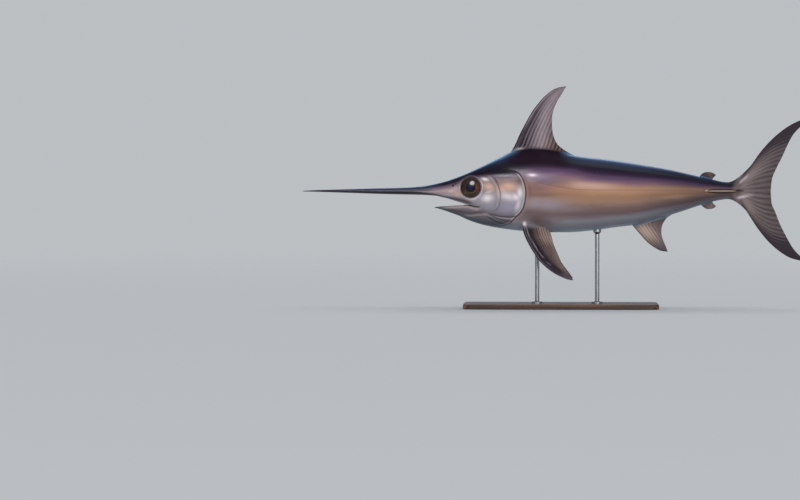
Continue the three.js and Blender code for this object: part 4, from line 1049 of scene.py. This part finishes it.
# A pale band low on the flank, and a painted pale rim along the belly's edge.
colour = m_.mix(m_.field("pale_band_and_belly_rim") * 0.6, colour, "#868c98")
colour = m_.mix(m_.field("rear") * 0.5, colour, "#1d1828")
colour = m_.mix(m_.field("crown"), colour, "#231823")
colour = m_.mix(m_.field("snout") * 0.7, colour, "#8c7880")
colour = m_.mix(m_.field("brown") * 0.75, colour, "#6a5658")
# Lilac, and a thin painted sheen line under the dark back.
colour = m_.mix(m_.field("lilac_and_sheen") * 0.85, colour, "#928da2")
colour = m_.mix(m_.field("peach") * 0.9, colour, "#cfa590")
# Silvery skin with painted highlights on the gill cover and cheek, and painted glints above them.
colour = m_.mix(m_.field("silver_and_highlights") * 0.9, colour, "#e6dcdf")
colour = m_.mix(m_.field("shade") * 0.9, colour, "#3a2b38")
colour = m_.mix(m_.field("glint"), colour, "#efe6ee")
# Painted highlights on the lower jaw.
colour = m_.mix(m_.field("jaw_highlight") * 0.8, colour, "#a29290")
colour = m_.mix(m_.field("jaw_dark") * 0.75, colour, "#3e4752")
# Painted shade along the lower margin of the bill and upper jaw.
colour = m_.mix(m_.field("margin_shade") * 0.85, colour, "#281c24")
# The gill cover's rim with a painted highlight, and its dark edge, a painted shadow in the slit; the cheek's lines,
# with a painted highlight on the rim before the bone's edge; the folds and grooves.
gill, gill_on = m_.field("gill"), m_.field("gill_on")
inner_on = m_.smooth(tone, 0.52, 0.46)
colour = m_.mix(m_.band(gill + 6.0, 3.2) * gill_on * inner_on * 0.5, colour, "#cdbfc4")
colour = m_.mix(m_.band(gill - 2.0, 3.6) * gill_on * 0.93, colour, "#21131c")
colour = m_.mix(m_.band(gill - 13.0, 6.0) * gill_on * inner_on * 0.45, colour, "#8d7a78")
preop, preop_on = m_.field("preop"), m_.field("preop_on")
colour = m_.mix(m_.band(preop + 11.0, 4.0) * preop_on * 0.15, colour, "#cabdc2")
colour = m_.mix(m_.band(preop, 4.2) * preop_on * 0.7, colour, "#4a3a42")
colour = m_.mix(m_.band(preop + 24.0, 3.4) * preop_on * 0.25, colour, "#625558")
foot, foot_on = m_.field("foot"), m_.field("foot_on")
colour = m_.mix(m_.band(foot + 9.0, 4.5) * foot_on * 0.55, colour, "#a89ca2")
colour = m_.mix(m_.band(foot, 3.2) * foot_on * 0.85, colour, "#38282f")
fold_on = m_.field("fold_on")
colour = m_.mix(m_.band(m_.field("fold_a"), 2.6) * fold_on * 0.9, colour, "#3a2f36")
colour = m_.mix(m_.band(m_.field("fold_b"), 2.6) * fold_on * 0.9, colour, "#2e252c")
colour = m_.mix(m_.band(m_.field("groove"), 8.0) * m_.field("groove_on") * 0.72, colour, "#4c3e40")
colour = m_.mix(m_.band(m_.field("lateral"), 2.4) * m_.field("lateral_on") * 0.5, colour, "#6a4c46")
eye = m_.field("eye")
# A pale ring round the eye, with a painted highlight low behind it.
colour = m_.mix(m_.field("eye_rim_and_highlight") * 0.55, colour, "#c9bcc0")
colour = m_.mix(m_.smooth(eye, 68.0, 64.0) * 0.72, colour, "#43363b")
# Painted shade on the socket's wall, in the gap round the eye.
colour = m_.mix(m_.smooth(eye, 60.5, 58.0), colour, "#140c0e")
# Painted shade in the nostril pits.
colour = m_.mix(m_.field("nostril") * 0.9, colour, "#1d1622")
# Painted shade in the mouth's gap.
colour = m_.mix(m_.field("slit"), colour, "#2e1b20")
# Fins: rays, and fine threads that run along them.
ray, rayv, amp = m_.field("ray"), m_.field("rayv"), m_.field("amp")
along = m_.tree.nodes.new("ShaderNodeCombineXYZ")
m_.put(along.inputs[0], ray)
m_.put(along.inputs[1], rayv * 0.9)
thread_tex = m_.tree.nodes.new("ShaderNodeTexNoise")
m_.tree.links.new(along.outputs[0], thread_tex.inputs["Vector"])
thread_tex.inputs["Scale"].default_value = 2.6
thread_tex.inputs["Detail"].default_value = 4.0
thread_tex.inputs["Roughness"].default_value = 0.65
threads = Value(m_, thread_tex.outputs["Fac"])
wave = m_.math("COSINE", ray * (2 * math.pi) + (threads - 0.5) * 0.9)
light = m_.field("light") + wave * amp * 0.17 + (threads - 0.5) * (amp * 0.42 + 0.14) + (mottle - 0.5) * 0.16
light = m_.math("ADD", light, 0.0, clamp=True)
cool = m_.mix(light, "#1c1526", "#a2959e")
warmc = m_.mix(light, "#2f2024", "#b09688")
finc = m_.mix(m_.field("warm"), cool, warmc)
finness = m_.field("fin")
colour = m_.mix(finness, colour, finc)
# Painted highlights on the keel and ridges of the tail stalk, and painted shade along the keel's edges.
colour = m_.mix(m_.field("ridge_highlight") * 0.95, colour, "#d6c6d0")
colour = m_.mix(m_.field("keel_edge_shade") * 0.95, colour, "#190f15")
colour = m_.mix(m_.field("keel_highlight") * 0.95, colour, "#e2d0c4")
colour = m_.mix(m_.field("keel_start_highlight") * 0.8, colour, "#cbb6ad")
# Painted highlights at the roots of the paired fin and the back fin.
colour = m_.mix(m_.field("fin_root_highlight") * 0.95, colour, "#eee4e4")
# The inside of the mouth is painted dark brown, as painted shade deep in the mouth.
colour = m_.mix(m_.field("mouth"), colour, "#4a3034")
# Small specks and a slow change of tone.
speck = m_.smooth(fine, 0.60, 0.74)
colour = m_.mix(speck * 0.10, colour, "#1d1a22")
colour = m_.mix(m_.smooth(mottle, 0.35, 0.75) * 0.10, colour, "#d8cfd0", "SOFT_LIGHT")
m_.put(m_.shader.inputs["Base Color"], colour)
backed = m_.smooth(tone, 0.46, 0.56) * m_.smooth(tone, 0.99, 0.86) * m_.field("headness")
rough = m_.smooth(mottle, 0.3, 0.7, 0.27, 0.38) + finness * 0.12 + m_.field("silver_and_highlights") * -0.04 + backed * 0.1 + m_.field("crown") * 0.2
m_.put(m_.shader.inputs["Roughness"], rough)
m_.put(m_.shader.inputs["Specular IOR Level"], 0.14 - m_.field("crown") * 0.12 - backed * 0.08)
m_.put(m_.shader.inputs["Coat Weight"], 0.12 - m_.field("crown") * 0.11 - backed * 0.08)
m_.shader.inputs["Coat Roughness"].default_value = 0.15
ray_height = (wave * 0.2 + threads * 1.2) * finness * (amp * 0.8 + 0.2)
skin_height = fine * 0.35 + streak * 0.8
normal = m_.bumped(ray_height, 0.0012, 0.8)
normal = m_.bumped(skin_height, 0.0008, 0.35, normal)
m_.put(m_.shader.inputs["Normal"], normal)
mesh.materials.append(m_.mat)

# ------------------------------------------------------------------ the eyes
RINGS, SPOKES = 40, 96
DOME, SINK, DEPTH = 11.0, 5.0, 30.0
R_SPHERE = (EYE_R ** 2 + DOME ** 2) / (2 * DOME)


def eye_piece(name, side, node):
    axis = EYE_N * [1, side, 1]
    centre_ = EYE_C * [1, side, 1]
    u = np.array([1.0, 0, 0]) - axis * axis[0]
    u /= np.linalg.norm(u)
    w_ = np.cross(u, axis)
    w_ *= np.sign(w_[2])
    profile = []
    for i in range(RINGS + 1):
        rr_ = EYE_R * math.sin(i / RINGS * math.pi / 2)
        profile.append((rr_, math.sqrt(R_SPHERE ** 2 - rr_ ** 2) - (R_SPHERE - DOME)))
    profile += [(EYE_R + 0.6, -2.0), (EYE_R + 0.3, -6.0), (EYE_R - 4, -14.0), (EYE_R - 18, -24.0), (0.0, -DEPTH)]
    verts_, rad, ang = [], [], []
    for rr_, h in profile[1:-1]:
        for j in range(SPOKES):
            q = 2 * math.pi * j / SPOKES
            verts_.append(centre_ + axis * (h - SINK) + (u * math.cos(q) + w_ * math.sin(q)) * rr_)
            rad.append(rr_ / EYE_R + (0.2 if h < -1 else 0))
    a_, b_ = len(verts_), len(verts_) + 1
    verts_ += [centre_ + axis * (DOME - SINK), centre_ + axis * (-DEPTH - SINK)]
    rad += [0.0, 1.4]
    faces_ = []
    rows_ = len(profile) - 2
    for j in range(SPOKES):
        k_ = (j + 1) % SPOKES
        faces_.append((a_, j, k_))
        for i in range(rows_ - 1):
            faces_.append((i * SPOKES + j, (i + 1) * SPOKES + j, (i + 1) * SPOKES + k_, i * SPOKES + k_))
        faces_.append(((rows_ - 1) * SPOKES + j, b_, (rows_ - 1) * SPOKES + k_))
    pts = np.array(verts_) / 1000
    pts[:, 2] += AXIS / 1000
    me = bpy.data.meshes.new(name)
    me.from_pydata(pts.tolist(), [], faces_)
    me.attributes.new("rad", "FLOAT", "POINT").data.foreach_set("value", np.array(rad, np.float32))
    for key, fn in (("ex", u), ("ez", w_)):
        me.attributes.new(key, "FLOAT", "POINT").data.foreach_set("value", ((np.array(verts_) - centre_) @ fn / EYE_R).astype(np.float32))
    b = bmesh.new()
    b.from_mesh(me)
    face_out(b)
    b.to_mesh(me)
    b.free()
    me.polygons.foreach_set("use_smooth", [True] * len(me.polygons))
    ob = bpy.data.objects.new(name, me)
    bpy.context.scene.collection.objects.link(ob)
    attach(ob, "root")
    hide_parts(node)
    return ob


e_ = Material("eyeball")
rad, ex, ez = e_.field("rad"), e_.field("ex"), e_.field("ez")
grain = e_.noise(90, 3, 0.6)
angle = e_.math("ARCTAN2", ez, ex)
fibre = e_.math("SINE", angle * 46.0 + grain * 9.0) * e_.smooth(rad, 0.5, 0.62)
iris = e_.ramp(rad + (grain - 0.5) * 0.04, [(0.0, "#020308"), (0.475, "#020308"), (0.50, "#0c090c"), (0.53, "#503622"), (0.57, "#3e251a"),
    (0.66, "#301812"), (0.78, "#2e1410"), (0.88, "#3c1c16"), (0.95, "#260f0c"), (0.985, "#140a0a"), (1.0, "#080506")])
# Olive gold low at the front, redder at the back, a brighter rim round the pupil low at the back.
iris_on = e_.smooth(rad, 0.52, 0.58) * e_.smooth(rad, 0.97, 0.90)
iris = e_.mix(e_.band(ex + 0.55, 0.32) * e_.band(ez + 0.5, 0.32) * iris_on * 0.7, iris, "#5e4a16")
iris = e_.mix(e_.band(ex - 0.74, 0.26) * e_.band(ez + 0.08, 0.55) * iris_on * 0.8, iris, "#82442f")
iris = e_.mix(e_.band(rad - 0.59, 0.045) * e_.smooth(ex - ez, 0.1, 0.9) * 0.65, iris, "#806448")
iris = e_.mix(e_.smooth(fibre, -0.2, 1.0) * iris_on * 0.14, iris, "#563624")
iris = e_.mix(e_.smooth(fibre, 0.2, -1.0) * iris_on * 0.18, iris, "#140b09")
glow = e_.band(ex + 0.08, 0.22) * e_.band(ez + 0.04, 0.26)
iris = e_.mix(glow * e_.smooth(rad, 0.48, 0.34) * 0.8, iris, "#0f184c")
e_.put(e_.shader.inputs["Base Color"], iris)
e_.put(e_.shader.inputs["Roughness"], e_.smooth(grain, 0.3, 0.7, 0.3, 0.36))
e_.shader.inputs["Specular IOR Level"].default_value = 0.10
e_.shader.inputs["Coat Weight"].default_value = 0.85
e_.shader.inputs["Coat Roughness"].default_value = 0.12
e_.put(e_.shader.inputs["Normal"], e_.bumped(fibre * iris_on, 0.0006, 0.5))
for name, side, node in (("swordfish_eye_left", -1, "eye_left"), ("swordfish_eye_right", 1, "eye_right")):
    eye_piece(name, side, node).data.materials.append(e_.mat)

# ------------------------------------------------------------------ the stand's finishes
w_ = Material("stained_wood")
mp = w_.tree.nodes.new("ShaderNodeMapping")
w_.tree.links.new(w_.where, mp.inputs["Vector"])
mp.inputs["Scale"].default_value = (0.7, 9.0, 9.0)
rings = w_.tree.nodes.new("ShaderNodeTexWave")
w_.tree.links.new(mp.outputs["Vector"], rings.inputs["Vector"])
rings.wave_type, rings.bands_direction = "BANDS", "Y"
rings.inputs["Scale"].default_value = 1.1
rings.inputs["Distortion"].default_value = 7.0
rings.inputs["Detail"].default_value = 3.0
rings.inputs["Detail Scale"].default_value = 1.4
grain = Value(w_, rings.outputs["Fac"])
pores = w_.noise(420, 2, 0.6, (0.05, 1, 1))
woodc = w_.ramp(grain * 0.75 + pores * 0.25, [(0.0, "#2b1910"), (0.35, "#442917"), (0.6, "#5c3a22"), (0.85, "#6d4729"), (1.0, "#7a5232")])
woodc = w_.mix(w_.smooth(pores, 0.62, 0.72) * 0.5, woodc, "#1c100a")
w_.put(w_.shader.inputs["Base Color"], woodc)
w_.put(w_.shader.inputs["Roughness"], w_.smooth(pores, 0.3, 0.7, 0.34, 0.46))
w_.shader.inputs["Coat Weight"].default_value = 0.3
w_.shader.inputs["Coat Roughness"].default_value = 0.2
w_.put(w_.shader.inputs["Normal"], w_.bumped(pores * 0.6 + grain * 0.4, 0.0004, 0.5))
s_ = Material("brushed_steel")
brush = s_.noise(900, 2, 0.7, (1, 1, 0.02))
cloud = s_.noise(30, 2, 0.5)
s_.put(s_.shader.inputs["Base Color"], s_.ramp(brush * 0.7 + cloud * 0.3, [(0.2, "#8d9093"), (0.5, "#a6a9ab"), (0.8, "#bcbfc1")]))
s_.shader.inputs["Metallic"].default_value = 1.0
s_.put(s_.shader.inputs["Roughness"], s_.smooth(brush, 0.3, 0.7, 0.24, 0.36))
s_.put(s_.shader.inputs["Normal"], s_.bumped(brush, 0.0002, 0.4))
for name, finish in (("stand_base", w_.mat), ("stand_rod_front", s_.mat), ("stand_rod_rear", s_.mat)):
    for slot in bpy.data.objects[name].material_slots:
        slot.link = "OBJECT"
        slot.material = finish

# ------------------------------------------------------------------ floor, light, camera
view = bpy.context.scene.view_settings
view.view_transform = "Standard"
view.look = "None"
view.exposure = 0.0
view.gamma = 1.0

PALE = (0.74, 0.77, 0.80, 1)
rings_, spokes = [0.0, 1, 2, 3, 4, 5, 6, 7, 8, 9, 10, 12, 14, 17, 21, 26, 32, 40], 64
fv, ff = [(0, 0, 0)], []
for q in rings_[1:]:
    fv += [(q * math.cos(2 * math.pi * j / spokes), q * math.sin(2 * math.pi * j / spokes), 0) for j in range(spokes)]
for j in range(spokes):
    k_ = (j + 1) % spokes
    ff.append((0, 1 + j, 1 + k_))
    for i in range(len(rings_) - 2):
        ff.append((1 + i * spokes + j, 1 + (i + 1) * spokes + j, 1 + (i + 1) * spokes + k_, 1 + i * spokes + k_))
floor = bpy.data.objects.new("floor", bpy.data.meshes.new("floor"))
floor.data.from_pydata(fv, [], ff)
bpy.context.scene.collection.objects.link(floor)
f_ = Material("pale_floor")
sep = f_.tree.nodes.new("ShaderNodeVectorMath")
sep.operation = "LENGTH"
f_.tree.links.new(f_.where, sep.inputs[0])
far = f_.smooth(Value(f_, sep.outputs["Value"]), 3.5, 17.0)
dust = f_.noise(3, 3, 0.5)
f_.put(f_.shader.inputs["Base Color"], f_.mix(f_.smooth(dust, 0.3, 0.7) * 0.04, (0.70, 0.72, 0.74, 1), (0.62, 0.64, 0.66, 1)))
f_.shader.inputs["Roughness"].default_value = 0.85
f_.shader.inputs["Specular IOR Level"].default_value = 0.1
clear = f_.tree.nodes.new("ShaderNodeBsdfTransparent")
blend = f_.tree.nodes.new("ShaderNodeMixShader")
f_.tree.links.new(far.s, blend.inputs[0])
f_.tree.links.new(f_.shader.outputs[0], blend.inputs[1])
f_.tree.links.new(clear.outputs[0], blend.inputs[2])
f_.tree.links.new(blend.outputs[0], f_.tree.nodes["Material Output"].inputs["Surface"])
floor.data.materials.append(f_.mat)

world = bpy.data.worlds.new("world")
bpy.context.scene.world = world
world.use_nodes = True
world.node_tree.nodes["Background"].inputs["Color"].default_value = PALE
world.node_tree.nodes["Background"].inputs["Strength"].default_value = 0.68
# The pale backdrop is seen as it is, and lights the fish less than it shows.
wt = world.node_tree
room = wt.nodes.new("ShaderNodeBackground")
room.inputs["Color"].default_value = (0.66, 0.76, 0.88, 1)
room.inputs["Strength"].default_value = 0.34
seen = wt.nodes.new("ShaderNodeLightPath")
either = wt.nodes.new("ShaderNodeMixShader")
wt.links.new(seen.outputs["Is Camera Ray"], either.inputs[0])
wt.links.new(room.outputs[0], either.inputs[1])
wt.links.new(wt.nodes["Background"].outputs[0], either.inputs[2])
wt.links.new(either.outputs[0], wt.nodes["World Output"].inputs["Surface"])


def softbox(name, place, aim, size, watts, colour):
    d = bpy.data.lights.new(name, "AREA")
    d.shape = "ELLIPSE"
    d.size, d.size_y = size
    d.energy = watts
    d.color = colour
    o = bpy.data.objects.new(name, d)
    o.location = place
    o.rotation_euler = (Vector(aim) - Vector(place)).to_track_quat("-Z", "Y").to_euler()
    o.visible_camera = False
    bpy.context.scene.collection.objects.link(o)


softbox("key", (-1.5, -4.0, 2.4), (-0.2, 0, 0.7), (2.0, 2.0), 124, (1, 0.97, 0.94))
softbox("fill", (2.2, -5.2, 0.9), (0.3, 0, 0.7), (4.4, 2.4), 60, (1, 0.97, 0.95))
softbox("overhead", (0.0, 0.0, 5.0), (0, 0, 0.7), (5.0, 2.0), 30, (0.78, 0.88, 1))
softbox("back", (0.0, 3.6, 2.6), (0, 0, 0.9), (5.0, 1.0), 26, (0.70, 0.86, 1))
# The studio's floor has a broad even light of its own, so that no edge of a lamp's reach shows on it.
spared, only = bpy.data.collections.new("not_on_floor"), bpy.data.collections.new("on_floor")
spared.objects.link(floor)
only.objects.link(floor)
spared.collection_objects[0].light_linking.link_state = "EXCLUDE"
for name in ("back", "overhead"):
    bpy.data.objects[name].light_linking.receiver_collection = spared
# The broad lamps would show as wide glints in the eyes, which have a small one of their own.
spared_eyes, eyes_only = bpy.data.collections.new("not_on_floor_or_eyes"), bpy.data.collections.new("on_eyes")
for k_, name in enumerate(("floor", "swordfish_eye_left", "swordfish_eye_right")):
    spared_eyes.objects.link(bpy.data.objects[name])
    spared_eyes.collection_objects[k_].light_linking.link_state = "EXCLUDE"
    if k_:
        eyes_only.objects.link(bpy.data.objects[name])
for name in ("key", "fill"):
    bpy.data.objects[name].light_linking.receiver_collection = spared_eyes
softbox("eye_light", (-1.35, -4.0, 3.2), (-0.5, 0, 0.7), (1.5, 1.5), 84, (1, 0.93, 0.95))
bpy.data.objects["eye_light"].light_linking.receiver_collection = eyes_only
even = bpy.data.lights.new("floor_light", "SUN")
even.energy = 1.5
even.angle = math.radians(70)
even.color = (1, 0.955, 0.91)
even_o = bpy.data.objects.new("floor_light", even)
even_o.rotation_euler = (math.radians(-14), math.radians(6), 0)
bpy.context.scene.collection.objects.link(even_o)
even_o.light_linking.receiver_collection = only

cam = bpy.data.cameras.new("camera")
cam.lens = 135
cam.sensor_width = 36
cam.clip_end = 200
cam_o = bpy.data.objects.new("camera", cam)
bpy.context.scene.collection.objects.link(cam_o)
bpy.context.scene.camera = cam_o
PX = 5.93e-3
away = cam.lens / cam.sensor_width * 800 * PX
here = Vector(((555 - 302) * PX - 1.5, -away, 0.7))
aim = Vector(((400 - 302) * PX - 1.5, 0, 0.7 - (250 - 190) * PX))
cam_o.location = here
cam_o.rotation_mode = "QUATERNION"
cam_o.rotation_quaternion = (aim - here).to_track_quat("-Z", "Y")
